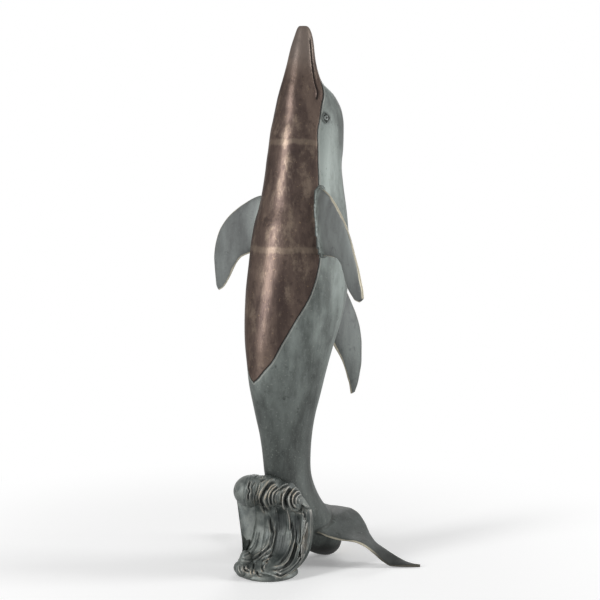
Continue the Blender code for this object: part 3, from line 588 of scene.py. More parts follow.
def body_values(z):
    """Centre in Y, half width, half depth and twist of the body at heights in metres."""
    centre, wide, deep, twist = [np.interp(z / MM, PROFILE[0], PROFILE[k]) for k in (1, 2, 3, 4)]
    return centre * MM, wide * MM, deep * MM, np.radians(twist)


def gape_offset(angle, z):
    """Distance in millimetres round the body from the mouth line, which is taken as endless."""
    _, wide, deep, _ = body_values(z)
    return np.radians(np.abs(angle) - hermite(GAPE_MM, 1, z / MM)) * np.minimum(wide, deep) / MM


def gape_dent(angle, z):
    """Depth of the mouth line, at angles in degrees from the belly's middle."""
    low = np.clip((z / MM - GAPE_MM[0][0]) / GAPE_FADE_MM, 0.0, 1.0)
    high = np.clip((GAPE_MM[-1][0] - z / MM) / GAPE_FADE_MM, 0.0, 1.0)
    return GAPE_DEPTH * low * high * np.exp(-(gape_offset(angle, z) / GAPE_WIDTH_MM) ** 2)


def full_turn(count):
    """Angles in radians, evenly once round."""
    return np.arange(count) * 2.0 * math.pi / count


def body_points(z, angle, dent=0.0):
    """Points of the body's surface, the angle in degrees from the belly's middle to the left."""
    centre, wide, deep, twist = body_values(z)
    turn = np.radians(angle)
    across = wide * np.sin(turn)
    back = -deep * np.cos(turn)
    shrink = 1.0 - dent / np.hypot(across, back)
    across = across * shrink
    back = back * shrink
    x = across * np.cos(twist) + back * np.sin(twist)
    y = centre - across * np.sin(twist) + back * np.cos(twist)
    return np.stack([x, y, z + 0.0 * x], axis=-1)


def body_heights():
    """Heights of the body's rings in metres."""
    top = BODY_MM[0][0]
    heights = [BODY_MM[-1][0]]
    while heights[-1] < top:
        step = [step for low, step in BODY_RING_STEPS_MM if heights[-1] >= low][-1]
        heights.append(min(top, heights[-1] + step))
    return np.array(heights) * MM


def grid_object(name, grid, ends="fan"):
    """A mesh object through a grid of rings, closed at both ends."""
    rings, count = grid.shape[:2]
    points = list(map(tuple, grid.reshape(-1, 3)))
    r, k = np.meshgrid(np.arange(rings - 1), np.arange(count), indexing="ij")
    a = (r * count + k).ravel()
    b = (r * count + (k + 1) % count).ravel()
    faces = np.stack([a, b, b + count, a + count], axis=1).tolist()
    for start, flip in ((0, True), ((rings - 1) * count, False)):
        if ends == "fan":
            points.append(tuple(grid.reshape(-1, 3)[start:start + count].mean(axis=0)))
            middle = len(points) - 1
            caps = [(start + j, start + (j + 1) % count, middle) for j in range(count)]
        else:
            caps = []
            for j in range((count - 1) // 2):
                rung = [start + corner for corner in (j, j + 1, count - 2 - j, count - 1 - j)]
                caps.append(tuple(dict.fromkeys(rung)))
        faces += [cap[::-1] if flip else cap for cap in caps]
    return mesh_object(name, points, faces)


def mesh_object(name, points, faces):
    """A mesh object whose faces point out."""
    mesh = bpy.data.meshes.new(name)
    mesh.from_pydata(points, [], faces)
    thing = bpy.data.objects.new(name, mesh)
    bpy.context.scene.collection.objects.link(thing)
    if signed_volume(mesh) < 0.0:
        mesh.flip_normals()
    return thing


def mesh_arrays(mesh):
    """Points and triangles of a mesh as arrays."""
    points = np.empty(len(mesh.vertices) * 3)
    mesh.vertices.foreach_get("co", points)
    mesh.calc_loop_triangles()
    triangles = np.empty(len(mesh.loop_triangles) * 3, int)
    mesh.loop_triangles.foreach_get("vertices", triangles)
    return points.reshape(-1, 3), triangles.reshape(-1, 3)


def signed_volume(mesh):
    """Volume of a closed mesh, negative where its faces point in."""
    points, triangles = mesh_arrays(mesh)
    a, b, c = [points[triangles[:, k]] for k in range(3)]
    return float(np.einsum("ij,ij->i", a, np.cross(b, c)).sum() / 6.0)


def make_body():
    """The outer surface of beak, head, trunk and tail, with the spout's hole in the beak's tip."""
    z = body_heights()[:, None]
    angle = (np.arange(BODY_SEGMENTS) * 360.0 / BODY_SEGMENTS + 180.0) % 360.0 - 180.0
    angle = angle[None, :] + 0.0 * z
    z = z + 0.0 * angle
    outside = body_points(z, angle, gape_dent(angle, z))
    top = outside[-1]
    middle = top.mean(axis=0)
    bore = []
    for radius, drop in ((SPOUT_RIM, 0.0), (SPOUT_BORE, SPOUT_CHAMFER), (SPOUT_BORE, SPOUT_BORE_DEPTH)):
        flat = (top - middle) / np.linalg.norm(top - middle, axis=1)[:, None] * radius
        bore.append(middle + flat - np.array([0.0, 0.0, drop]))
    return grid_object("dolphin_skin", np.concatenate([outside, np.array(bore)]))


def axes(twist):
    """The dolphin's left and back directions at a twist in degrees."""
    turn = math.radians(twist)
    return np.array([math.cos(turn), -math.sin(turn), 0.0]), np.array([math.sin(turn), math.cos(turn), 0.0])


def fin_columns(table, count):
    """Columns of a fin's table read off evenly along the fin, in metres."""
    indexed = [(float(k),) + tuple(row) for k, row in enumerate(table)]
    share = np.linspace(0.0, 1.0, count)
    places = share * (len(table) - 1)
    return share, [hermite(indexed, column, places) * MM for column in range(1, len(table[0]) + 1)]


def fin_thickness(share, root, tip):
    """Thickness from root to tip, with a flare at the root."""
    flare = np.exp(-(share / FIN_FLARE) ** 2)
    blade = tip + 0.5 * (root - tip) * (1.0 - share) ** FIN_FULLNESS
    return blade + (root - blade) * flare


def section_grid(lead, trail, normal, thick):
    """Flat oval rings round the chords between edge points."""
    middle = (lead + trail) * 0.5
    chord = (trail - lead) * 0.5
    turn = full_turn(FIN_RING_POINTS)
    lift = np.sign(np.sin(turn)) * np.abs(np.sin(turn)) ** FIN_FULLNESS
    grid = middle[:, None, :] - chord[:, None, :] * np.cos(turn)[None, :, None]
    return grid + normal[:, None, :] * (lift[None, :, None] * thick[:, None, None] * 0.5)


def upright(share, value):
    """Points straight up by the values given, one for each place along a fin."""
    return np.stack([0.0 * share, 0.0 * share, value], axis=1)


def make_pectoral(name, side, table):
    """A pectoral fin, side 1 for the dolphin's left and -1 for its right."""
    left, back = axes(PECTORAL_TWIST)
    sweep = math.radians(PECTORAL_SWEEP)
    out = left * side * math.cos(sweep) - back * math.sin(sweep)
    normal = np.array([out[1], -out[0], 0.0]) * side
    root = np.array([0.0, PECTORAL_ROOT_Y, 0.0]) + left * side * PECTORAL_ROOT_OUT
    root = root - back * PECTORAL_ROOT_FORWARD
    share, (s_lead, z_lead, s_trail, z_trail) = fin_columns(table, FIN_STATIONS)
    reach = max(row[0] for row in table) * MM
    bow = 4.0 * PECTORAL_BOW * (s_trail / reach) * (1.0 - s_trail / reach)
    base = root + normal * bow[:, None]
    lead = base + out * s_lead[:, None] + upright(share, z_lead)
    trail = base + out * s_trail[:, None] + upright(share, z_trail)
    thick = fin_thickness(share, PECTORAL_THICK_ROOT, PECTORAL_THICK_TIP)
    return grid_object(name, section_grid(lead, trail, normal + 0.0 * lead, thick))


def make_dorsal():
    """The dorsal fin, in the middle plane of the back."""
    left, back = axes(DORSAL_TWIST)
    root = np.array([0.0, DORSAL_ROOT_Y, 0.0])
    share, (d_lead, z_lead, d_trail, z_trail) = fin_columns(DORSAL_MM, FIN_STATIONS)
    lead = root + back * d_lead[:, None] + upright(share, z_lead)
    trail = root + back * d_trail[:, None] + upright(share, z_trail)
    thick = fin_thickness(share, DORSAL_THICK_ROOT, DORSAL_THICK_TIP)
    return grid_object("dorsal_fin", section_grid(lead, trail, left + 0.0 * lead, thick))


def fluke_rows(table, tip, side):
    """Leading points, trailing points and thickness of one fluke, from the middle out."""
    left, back = axes(FLUKE_TWIST)
    root = np.array([0.0, FLUKE_ROOT_Y, 0.0])
    share, (out, d_lead, z_lead, d_trail, z_trail) = fin_columns(table, FLUKE_STATIONS)
    base = root + left * side * out[:, None]
    lead = base + back * d_lead[:, None] + upright(share, z_lead)
    trail = base + back * d_trail[:, None] + upright(share, z_trail)
    return lead, trail, tip + (FLUKE_THICK_ROOT - tip) * (1.0 - share) ** FLUKE_THINNING


def make_flukes():
    """Both flukes as one blade, arched over the ground."""
    far = [rows[:0:-1] for rows in fluke_rows(RIGHT_FLUKE_MM, RIGHT_FLUKE_THICK_TIP, -1)]
    near = fluke_rows(LEFT_FLUKE_MM, LEFT_FLUKE_THICK_TIP, 1)
    lead, trail, thick = [np.concatenate(pair) for pair in zip(far, near)]
    span = np.gradient(lead + trail, axis=0)
    normal = np.cross(span, trail - lead)
    normal /= np.linalg.norm(normal, axis=1)[:, None]
    return grid_object("flukes", section_grid(lead, trail, normal, thick))


def united(name, first, others):
    """A new object that is the union of closed objects, which are then removed."""
    for other in others:
        change = first.modifiers.new(other.name, "BOOLEAN")
        change.operation = "UNION"
        change.solver = "MANIFOLD"
        change.object = other
    graph = bpy.context.evaluated_depsgraph_get()
    mesh = bpy.data.meshes.new_from_object(first.evaluated_get(graph))
    for old in [first] + others:
        bpy.data.objects.remove(old, do_unlink=True)
    mesh.name = name
    whole = bpy.data.objects.new(name, mesh)
    bpy.context.scene.collection.objects.link(whole)
    return whole


def body_reach(points):
    """How far out points lie from the body's middle line, 1 on the body's skin."""
    centre, wide, deep, twist = body_values(points[:, 2])
    x = points[:, 0]
    y = points[:, 1] - centre
    across = x * np.cos(twist) - y * np.sin(twist)
    back = x * np.sin(twist) + y * np.cos(twist)
    angle = np.degrees(np.arctan2(across / wide, -back / deep))
    return np.hypot(across / wide, back / deep), angle


def edge_pairs(mesh):
    """The two vertices of each edge."""
    pairs = np.empty(len(mesh.edges) * 2, int)
    mesh.edges.foreach_get("vertices", pairs)
    return pairs.reshape(-1, 2)


def nearest(points, targets):
    """Distance of each point to the nearest target."""
    tree = KDTree(len(targets))
    for k, target in enumerate(targets):
        tree.insert(target, k)
    tree.balance()
    return np.array([tree.find(point)[2] for point in points])


def soften(mesh, weight, rounds):
    """Move points towards the middle of their neighbours, by a weight for each."""
    points, _ = mesh_arrays(mesh)
    pairs = edge_pairs(mesh)
    count = np.bincount(pairs.ravel(), minlength=len(points)).astype(float)
    for _ in range(rounds):
        total = np.zeros_like(points)
        np.add.at(total, pairs[:, 0], points[pairs[:, 1]])
        np.add.at(total, pairs[:, 1], points[pairs[:, 0]])
        points += (total / count[:, None] - points) * (0.5 * weight)[:, None]
    mesh.vertices.foreach_set("co", points.ravel())
    mesh.update()


def add_attribute(mesh, name, values):
    """A number for each vertex, read by the materials."""
    layer = mesh.attributes.new(name, "FLOAT", "POINT")
    layer.data.foreach_set("value", np.asarray(values, np.float32))


def seam_distance(angle, z, wide, deep):
    """Distance in millimetres from the belly plate's edge, negative on the plate."""
    heights = z / MM
    edge = hermite(SEAM_TABLE, 1, heights)
    slope = (hermite(SEAM_TABLE, 1, heights + 1.0) - hermite(SEAM_TABLE, 1, heights - 1.0)) * 0.5
    turn = np.radians(angle)
    per_degree = np.radians(np.hypot(wide * np.cos(turn), deep * np.sin(turn))) / MM
    off = (np.abs(angle) - edge) * per_degree / np.sqrt(1.0 + (slope * per_degree) ** 2)
    below = SEAM_TABLE[0][0] - heights
    return np.where(below > 0.0, np.hypot(np.maximum(off, 0.0), below), off)


def eye_frame(side):
    """Middle of an eye on the head, and its directions towards the back, up and out."""
    z = np.array([EYE_Z, EYE_Z, EYE_Z, EYE_Z + MM])
    angle = side * np.array([EYE_ANGLE, EYE_ANGLE - EYE_FOOT, EYE_ANGLE + EYE_FOOT, EYE_ANGLE])
    middle, low, high, above = body_points(z, angle)
    across = (high - low) / np.linalg.norm(high - low)
    up = (above - middle) / np.linalg.norm(above - middle)
    out = np.cross(across, up) * side
    return middle, across, up, out / np.linalg.norm(out)


def make_eyeball(name, side):
    """A round eye standing slightly proud of the head."""
    middle, across, up, out = eye_frame(side)
    level = np.radians(np.linspace(-POLE_ANGLE, POLE_ANGLE, EYE_ROWS))[:, None, None]
    turn = full_turn(EYE_SIDES)[None, :, None]
    flat = across * np.cos(turn) * EYE_HIGH * 0.5 + up * np.sin(turn) * EYE_LONG * 0.5
    return grid_object(name, middle + flat * np.cos(level) + out * np.sin(level) * EYE_PROUD)


def round_line(points, step, closed=False):
    """A line through points, rounded and read off at even steps, with the share along it of each place."""
    points = np.array(points, float)
    if closed:
        points = np.concatenate([points, points[:1]])
    lengths = np.concatenate([[0.0], np.cumsum(np.linalg.norm(np.diff(points, axis=0), axis=1))])
    count = max(3, int(lengths[-1] / step))
    places = np.linspace(0.0, lengths[-1], count)
    if closed:
        first, last = points[-2:-1], points[1:2]
    else:
        first, last = 2.0 * points[:1] - points[1:2], 2.0 * points[-1:] - points[-2:-1]
    around = np.concatenate([first, points, last])
    k = np.clip(np.searchsorted(lengths, places, side="right") - 1, 0, len(points) - 2)
    t = ((places - lengths[k]) / (lengths[k + 1] - lengths[k]))[:, None]
    before, start, end, after = [around[k + n] for n in range(4)]
    bend = (end - before) * t + (2.0 * before - 5.0 * start + 4.0 * end - after) * t ** 2
    bend += (3.0 * start - before - 3.0 * end + after) * t ** 3
    return start + 0.5 * bend, places / lengths[-1]


def make_lid(name, side):
    """The rounded rim of the eyelids, a ring that follows their outline."""
    middle, across, up, out = eye_frame(side)
    line, _ = round_line(EYE_LID_MM, EYE_LID_STEP_MM, closed=True)
    line = line[:-1] * MM
    centre = middle + across * line[:, :1] + up * line[:, 1:]
    flat = centre - middle
    flat /= np.linalg.norm(flat, axis=1)[:, None]
    turn = full_turn(EYE_LID_SIDES)[None, :, None]
    ring = centre[:, None] + (flat[:, None] * np.cos(turn) + out * np.sin(turn)) * EYE_LID_RADIUS
    points = ring.reshape(-1, 3)
    rings, count = ring.shape[:2]
    r, k = np.meshgrid(np.arange(rings), np.arange(count), indexing="ij")
    a, b = r * count, (r + 1) % rings * count
    faces = np.stack([a + k, a + (k + 1) % count, b + (k + 1) % count, b + k], axis=-1).reshape(-1, 4)
    return mesh_object(name, points.tolist(), faces.tolist())


def stands_off(points):
    """Which points stand off the body's skin."""
    reach, _ = body_reach(points)
    _, wide, deep, _ = body_values(points[:, 2])
    return (reach - 1.0) * np.minimum(wide, deep) > FIN_CLEAR


def root_distance(points, mesh):
    """How far each point is from the line where fins meet the body."""
    on_fin = stands_off(points)
    pairs = edge_pairs(mesh)
    crossing = on_fin[pairs[:, 0]] != on_fin[pairs[:, 1]]
    root = np.zeros(len(points), bool)
    root[pairs[crossing].ravel()] = True
    return nearest(points, points[root])


def edge_lines(blades):
    """Points along the leading and trailing edges of the fins."""
    lines = []
    for blade in blades:
        points, _ = mesh_arrays(blade.data)
        rings = points[:len(points) // FIN_RING_POINTS * FIN_RING_POINTS].reshape(-1, FIN_RING_POINTS, 3)
        lines += [rings[:, 0], rings[:, FIN_RING_POINTS // 2]]
    return np.concatenate(lines)


def add_masks(mesh, root, rims):
    """Distances in millimetres that the dolphin's finish follows."""
    points, _ = mesh_arrays(mesh)
    _, angle = body_reach(points)
    _, wide, deep, _ = body_values(points[:, 2])
    eyes = [np.linalg.norm(points - eye_frame(side)[0], axis=1) for side in (1, -1)]
    eye = np.min(eyes, axis=0) / MM
    away = nearest(points, root) / MM
    on_fin = stands_off(points) & (eye > EYE_ZONE_MM)
    plate = np.clip(seam_distance(angle, points[:, 2], wide, deep), -FAR_MM, FAR_MM)
    add_attribute(mesh, "plate_mm", np.where(on_fin, FAR_MM, plate))
    add_attribute(mesh, "fin_mm", np.where(on_fin, away, -away))
    add_attribute(mesh, "rim_mm", np.where(on_fin, nearest(points, rims) / MM, FAR_MM))
    add_attribute(mesh, "eye_mm", np.minimum(eye, FAR_MM))
    add_attribute(mesh, "gape_mm", gape_distance(angle, points[:, 2]))


def make_dolphin():
    """The casting's visible skin with its fins, flukes and eyes, welded with rounded corners."""
    blades = [
        make_pectoral("left_pectoral", 1, LEFT_PECTORAL_MM),
        make_pectoral("right_pectoral", -1, RIGHT_PECTORAL_MM),
        make_dorsal(),
        make_flukes(),
    ]
    rims = edge_lines(blades)
    whole = united("dolphin_skin", make_body(), blades)
    points, _ = mesh_arrays(whole.data)
    away = root_distance(points, whole.data)
    soften(whole.data, np.clip(1.0 - away / FILLET_REACH, 0.0, 1.0) ** FILLET_FALL, FILLET_ROUNDS)
    root = points[away < ROOT_LINE]
    eyes = [
        make("eye_part_%d" % k, side)
        for k, (make, side) in enumerate((
            (make_eyeball, 1), (make_eyeball, -1), (make_lid, 1), (make_lid, -1)))]
    whole = united("dolphin_skin", whole, eyes)
    add_masks(whole.data, root, rims)
    whole.data.shade_smooth()
    return whole


def gape_distance(angle, z):
    """Distance in millimetres from the mouth line."""
    past = np.maximum(0.0, np.maximum(GAPE_MM[0][0] - z / MM, z / MM - GAPE_MM[-1][0]))
    return np.clip(np.hypot(gape_offset(angle, z), past), 0.0, FAR_MM)


def wave_point(across, forward, z):
    """Points from their places in the wave's own directions."""
    turn = math.radians(WAVE_TURN)
    x = across * math.cos(turn) + forward * math.sin(turn)
    y = across * math.sin(turn) - forward * math.cos(turn)
    return np.stack([x, y, z + 0.0 * x], axis=-1)


def end_round(place):
    """Share of the full thickness, falling in a quarter circle at both ends of the wave."""
    low = (WAVE_NOSE_END - place) / (1.0 + WAVE_NOSE_END)
    high = (place - WAVE_RIM_START) / (1.0 - WAVE_RIM_START)
    off = np.clip(np.maximum(low, high), 0.0, WAVE_END_LIMIT)
    return np.sqrt(1.0 - off * off)


def strand(place):
    """Height of the strand ridges across the wave, with narrow grooves between round backs."""
    on = np.clip((place - WAVE_NOSE_END) / WAVE_STRAND_START, 0.0, 1.0)
    size, rate, start = WAVE_STRAND_BEND
    bend = place + size * np.sin(rate * place + start)
    coarse, fine = [
        high * np.abs(np.sin(math.pi * count * bend + begin)) ** roundness
        for count, begin, roundness, high in WAVE_STRANDS]
    return on * (coarse + fine - WAVE_STRAND_LOW) * MM


def sheet_across(place, z):
    """Where a strand of the sheet lies across the width: below, strands bend to the splash."""
    left = hermite(WAVE_SHEET_MM, 3, z / MM) * MM
    top_left = WAVE_SHEET_MM[-1][3] * MM
    top = top_left + (WAVE_SHEET_RIGHT - top_left) * (place + 1.0) * 0.5
    share = (top - WAVE_SPLASH_WIDE) / (top_left - WAVE_SPLASH_WIDE)
    near = WAVE_SPLASH_WIDE + (left - WAVE_SPLASH_WIDE) * share
    fall = np.clip((WAVE_FLOW_TOP - z) / WAVE_FLOW_DROP, 0.0, 1.0)
    flow = (1.0 - fall ** WAVE_FLOW_CURVE) ** (1.0 / WAVE_FLOW_CURVE)
    return np.where(top < WAVE_SPLASH_WIDE, near, WAVE_SPLASH_WIDE + (top - WAVE_SPLASH_WIDE) * flow)


def clear_of_tail(points):
    """Points inside the tail, or nearly, are moved just outside it."""
    flat = points.reshape(-1, 3)
    centre, wide, deep, twist = body_values(flat[:, 2])
    x = flat[:, 0]
    y = flat[:, 1] - centre
    across = (x * np.cos(twist) - y * np.sin(twist)) / (wide + WAVE_TAIL_GAP)
    back = (x * np.sin(twist) + y * np.cos(twist)) / (deep + WAVE_TAIL_GAP)
    reach = np.maximum(np.hypot(across, back), 1e-6)
    push = np.where(reach < 1.0, 1.0 / reach, 1.0)
    moved = np.stack([x * push, centre + y * push, flat[:, 2]], axis=1)
    return moved.reshape(points.shape)


def make_wave_sheet():
    """The wave's standing sheet and its curl, as one closed loft across its width."""
    place = np.linspace(-1.0, 1.0, WAVE_STATIONS)[:, None]
    edge = end_round(place)
    ridge = strand(place)
    forward, top, radius = [hermite(WAVE_CURL_MM, column, place) * MM for column in (1, 2, 3)]
    height = top - radius
    size = radius * edge + ridge
    turn = np.radians(np.linspace(WAVE_UNDERSIDE, WAVE_BACKSIDE, WAVE_ARC_POINTS))[None, :]
    middle = 0.5 * (WAVE_CURL_LEFT + WAVE_CURL_RIGHT)
    wide = middle + 0.5 * (WAVE_CURL_RIGHT - WAVE_CURL_LEFT) * place
    arc = np.stack([wide + 0.0 * turn, forward + np.cos(turn) * size, height + np.sin(turn) * size], axis=-1)
    neck = arc[:, :1, 2] - WAVE_NECK_DROP
    low = WAVE_SHEET_MM[0][0] * MM
    top_row = WAVE_SHEET_MM[-1][0] * MM
    fade = WAVE_END_SHEET + (1.0 - WAVE_END_SHEET) * edge

    def side(rows, sign):
        """The front of the sheet, sign 1, or its back, sign -1, from the foot up."""
        share = np.linspace(0.0, 1.0, rows)[None, :]
        row = low + (top_row - low) * share
        mid, half = [hermite(WAVE_SHEET_MM, column, row / MM) * MM for column in (1, 2)]
        half = half * fade + ridge * np.clip(share * 4.0, 0.0, 1.0)
        z = low + (neck - low) * share if sign > 0 else row + 0.0 * neck
        return np.stack([sheet_across(place, row), mid + sign * half, z], axis=-1)

    front = side(WAVE_FRONT_ROWS, 1.0)
    back = side(WAVE_BACK_ROWS, -1.0)
    share = np.linspace(0.0, 1.0, WAVE_NAPE_POINTS + 2)[None, 1:-1, None]
    nape = arc[:, -1:, :] + (back[:, -1:, :] - arc[:, -1:, :]) * share
    nape[:, :, 1] -= WAVE_NAPE_BULGE * edge * np.sin(math.pi * share[:, :, 0])
    spots = np.concatenate([front, arc, nape, back[:, ::-1]], axis=1)
    grid = clear_of_tail(wave_point(spots[..., 0], spots[..., 1], spots[..., 2]))
    return grid_object("wave_sheet", grid, ends="ladder")


def make_wave_foot():
    """The low round foot, flat on the ground."""
    levels = np.linspace(0.0, 1.0, WAVE_FOOT_ROWS)[:, None]
    share = hermite(WAVE_FOOT_LEVELS, 1, levels)
    turn = full_turn(WAVE_FOOT_SIDES)[None, :]
    wide = WAVE_FOOT_ACROSS + WAVE_FOOT_HALF_WIDE * share * np.cos(turn)
    deep = WAVE_FOOT_FORWARD + WAVE_FOOT_HALF_DEEP * share * np.sin(turn)
    return grid_object("wave_foot", wave_point(wide, deep, WAVE_FOOT_HEIGHT * levels + 0.0 * turn))


def make_splash(name, place):
    """One round lump of the splash at the foot."""
    wide, deep, height, radius = [value * MM for value in place]
    level = np.radians(np.linspace(-POLE_ANGLE, POLE_ANGLE, SPLASH_ROWS))[:, None]
    turn = full_turn(SPLASH_SIDES)[None, :]
    out = radius * np.cos(level)
    z = height + (height - SPLASH_CLEAR) * np.sin(level) + 0.0 * turn
    return grid_object(name, wave_point(wide + out * np.cos(turn), deep + out * np.sin(turn), z))


def camera_frame():
    """The camera's place and its directions to the right, up and ahead."""
    turn = math.radians(CAMERA_AZIMUTH)
    right = np.array([math.cos(turn), math.sin(turn), 0.0])
    place = np.array([math.sin(turn), -math.cos(turn), 0.0]) * CAMERA_DISTANCE + right * CAMERA_SHIFT
    place[2] = CAMERA_HEIGHT
    aim = right * CAMERA_SHIFT + np.array([0.0, 0.0, CAMERA_AIM_HEIGHT])
    ahead = (aim - place) / np.linalg.norm(aim - place)
    return place, right, np.cross(right, ahead), ahead


def in_photo(points):
    """Where points lie in the photograph, in its pixels, and the size of a pixel there in mm."""
    place, right, up, ahead = camera_frame()
    off = points - place
    pixel = CAMERA_SENSOR / CAMERA_LENS / PHOTO_SIZE * (off @ ahead)
    x = PHOTO_SIZE * 0.5 + off @ right / pixel
    y = PHOTO_SIZE * 0.5 - off @ up / pixel
    return np.stack([x, y], axis=1), pixel / MM


def groove_depth(spots, pixel):
    """Depth of the grooves and height of the raised lines in mm, at places in the photograph."""
    deepest = np.zeros(len(spots))
    raised = np.zeros(len(spots))
    for width, depth, line in WAVE_GROOVES_PX:
        line, share = round_line(line, GROOVE_STEP_PX)
        fade = np.clip(np.minimum(share, 1.0 - share) / GROOVE_ENDS, GROOVE_END_DEPTH, 1.0)
        reach = GROOVE_REACH * width
        low = line.min(axis=0) - reach
        high = line.max(axis=0) + reach
        near = np.flatnonzero(((spots > low) & (spots < high)).all(axis=1))
        if len(near) == 0:
            continue
        off = np.linalg.norm(spots[near, None] - line[None], axis=2)
        best = off.argmin(axis=1)
        off = off.min(axis=1) * pixel[near] / width
        strength = abs(depth) * fade[best]
        shape = strength * np.exp(-off * off * GROOVE_FALL)
        lip = strength * GROOVE_LIP * np.exp(-(off - GROOVE_LIP_OFF) ** 2 * GROOVE_LIP_FALL)
        if depth > 0.0:
            deepest[near] = np.maximum(deepest[near], shape)
            raised[near] = np.maximum(raised[near], lip)
        else:
            raised[near] = np.maximum(raised[near], shape)
    return deepest, raised


def carve(mesh):
    """Cut the traced grooves and hollows into the side of the wave that the photograph shows, and keep a mask
    of painted shade for the hollows.
    """
    points, _ = mesh_arrays(mesh)
    normals = np.empty(len(points) * 3)
    mesh.vertex_normals.foreach_get("vector", normals)
    normals = normals.reshape(-1, 3)
    place = camera_frame()[0]
    towards = place - points
    towards /= np.linalg.norm(towards, axis=1)[:, None]
    facing = np.clip((normals * towards).sum(axis=1) / GROOVE_FACING, 0.0, 1.0)
    spots, pixel = in_photo(points)
    deep, raised = groove_depth(spots, pixel)
    hollow_painted_shade = np.zeros(len(points))
    sunk = np.zeros(len(points))
    for x, y, wide, high, depth in WAVE_HOLLOWS_AND_PAINTED_SHADE_PX:
        off = np.hypot((spots[:, 0] - x) / wide, (spots[:, 1] - y) / high)
        shade = np.exp(-off ** 4)
        # This mask carries the painted shade of the hollows
        hollow_painted_shade = np.maximum(hollow_painted_shade, shade)
        sunk = np.maximum(sunk, depth * shade)
    floor = np.clip(points[:, 2] / GROOVE_FLOOR, 0.0, 1.0)
    move = (raised - deep - sunk) * facing * floor * MM
    mesh.vertices.foreach_set("co", (points + normals * move[:, None]).ravel())
    mesh.update()
    add_attribute(mesh, "groove_mm", deep * facing)
    add_attribute(mesh, "lip_mm", raised * facing)
    add_attribute(mesh, "hollow_painted_shade", hollow_painted_shade * facing)


def make_wave():
    """The curling wave in front of the tail, with its splash and foot."""
    lumps = [make_splash("splash_%d" % k, place) for k, place in enumerate(WAVE_SPLASH_MM)]
    whole = united("wave_cast", make_wave_sheet(), [make_wave_foot()] + lumps)
    carve(whole.data)
    whole.data.shade_smooth()
    return whole


def new_material(name):
    """A material with its node tree and Principled shader."""
    look = bpy.data.materials.new(name)
    look.use_nodes = True
    return look, look.node_tree, look.node_tree.nodes["Principled BSDF"]


def put(tree, kind, inputs=(), **settings):
    """A new node; inputs maps socket names or numbers to values or to sockets to link."""
    made = tree.nodes.new(kind)
    for key, value in settings.items():
        setattr(made, key, value)
    for key, value in dict(inputs).items():
        if isinstance(value, bpy.types.NodeSocket):
            tree.links.new(value, made.inputs[key])
        else:
            made.inputs[key].default_value = value
    return made


def noise(tree, place, scale, detail=4.0, roughness=0.55, distortion=0.0):
    """Values of a noise texture, about 0.5 in the middle."""
    made = put(tree, "ShaderNodeTexNoise", {
        "Vector": place, "Scale": scale, "Detail": detail, "Roughness": roughness, "Distortion": distortion})
    return made.outputs["Fac"]


def ramp(tree, value, low, high, to_low=0.0, to_high=1.0):
    """A value mapped evenly from one range to another, and held at its ends."""
    made = put(tree, "ShaderNodeMapRange", {
        0: value, 1: low, 2: high, 3: to_low, 4: to_high}, interpolation_type="SMOOTHSTEP")
    return made.outputs[0]


def maths(tree, operation, first, second=0.0):
    """One arithmetic step."""
    return put(tree, "ShaderNodeMath", {0: first, 1: second}, operation=operation).outputs[0]


def blend_colour(tree, share, first, second, kind="MIX"):
    """A mix of two colours."""
    made = tree.nodes.new("ShaderNodeMix")
    made.data_type = "RGBA"
    made.blend_type = kind
    for socket, value in ((made.inputs[0], share), (made.inputs[6], first), (made.inputs[7], second)):
        if isinstance(value, bpy.types.NodeSocket):
            tree.links.new(value, socket)
        else:
            socket.default_value = (*value, 1.0) if isinstance(value, tuple) else value
    return made.outputs[2]


def place_of(tree, stretch=(1.0, 1.0, 1.0)):
    """Places on the object in metres, stretched along the axes."""
    coordinates = put(tree, "ShaderNodeTexCoord").outputs["Object"]
    return put(tree, "ShaderNodeMapping", {"Vector": coordinates, "Scale": stretch}).outputs[0]


def attribute(tree, name):
    """A number kept on each vertex."""
    return put(tree, "ShaderNodeAttribute", attribute_name=name).outputs["Fac"]


def bump(tree, height, distance, strength=1.0, normal=None):
    """A bumped normal."""
    made = put(tree, "ShaderNodeBump", {"Height": height, "Distance": distance, "Strength": strength})
    if normal is not None:
        tree.links.new(normal, made.inputs["Normal"])
    return made.outputs[0]


def cover(tree, colour, share, strength, top):
    """A colour covered by another where the share is 1, as strongly as given."""
    return blend_colour(tree, maths(tree, "MULTIPLY", share, strength), colour, top)


def wander(tree, value, by, amount):
    """A value moved up and down by a noise."""
    return maths(tree, "ADD", value, maths(tree, "MULTIPLY", maths(tree, "SUBTRACT", by, 0.5), amount))


def band(tree, value, middle, half):
    """1 in the middle of a band of values and 0 outside it."""
    off = maths(tree, "ABSOLUTE", maths(tree, "SUBTRACT", value, middle))
    return ramp(tree, off, half, half * 0.35)


def patina_level(tree, height):
    """Brightness of the patina at each height."""
    level = put(tree, "ShaderNodeFloatCurve", {1: height})
    curve = level.mapping.curves[0]
    curve.points[0].location = PATINA_LEVELS[0]
    curve.points[1].location = PATINA_LEVELS[-1]
    for at, value in PATINA_LEVELS[1:-1]:
        curve.points.new(at, value)
    level.mapping.update()
    return level.outputs[0]


def patina_colour(tree, height, cloud, spots, grain):
    """The patina: palest on the trunk and head, and nearly black low on the tail."""
    base = blend_colour(tree, patina_level(tree, height), (0.0, 0.0, 0.0), PATINA)
    streaky = ramp(tree, cloud, 0.3, 0.7, 0.5, 1.45)
    grey = put(tree, "ShaderNodeCombineXYZ", {0: streaky, 1: streaky, 2: streaky}).outputs[0]
    base = blend_colour(tree, 1.0, base, grey, "MULTIPLY")
    base = cover(tree, base, ramp(tree, spots, 0.58, 0.7), 0.6, PATINA_SPOT)
    return cover(tree, base, ramp(tree, grain, 0.56, 0.74), 0.3, PATINA_SPECK)


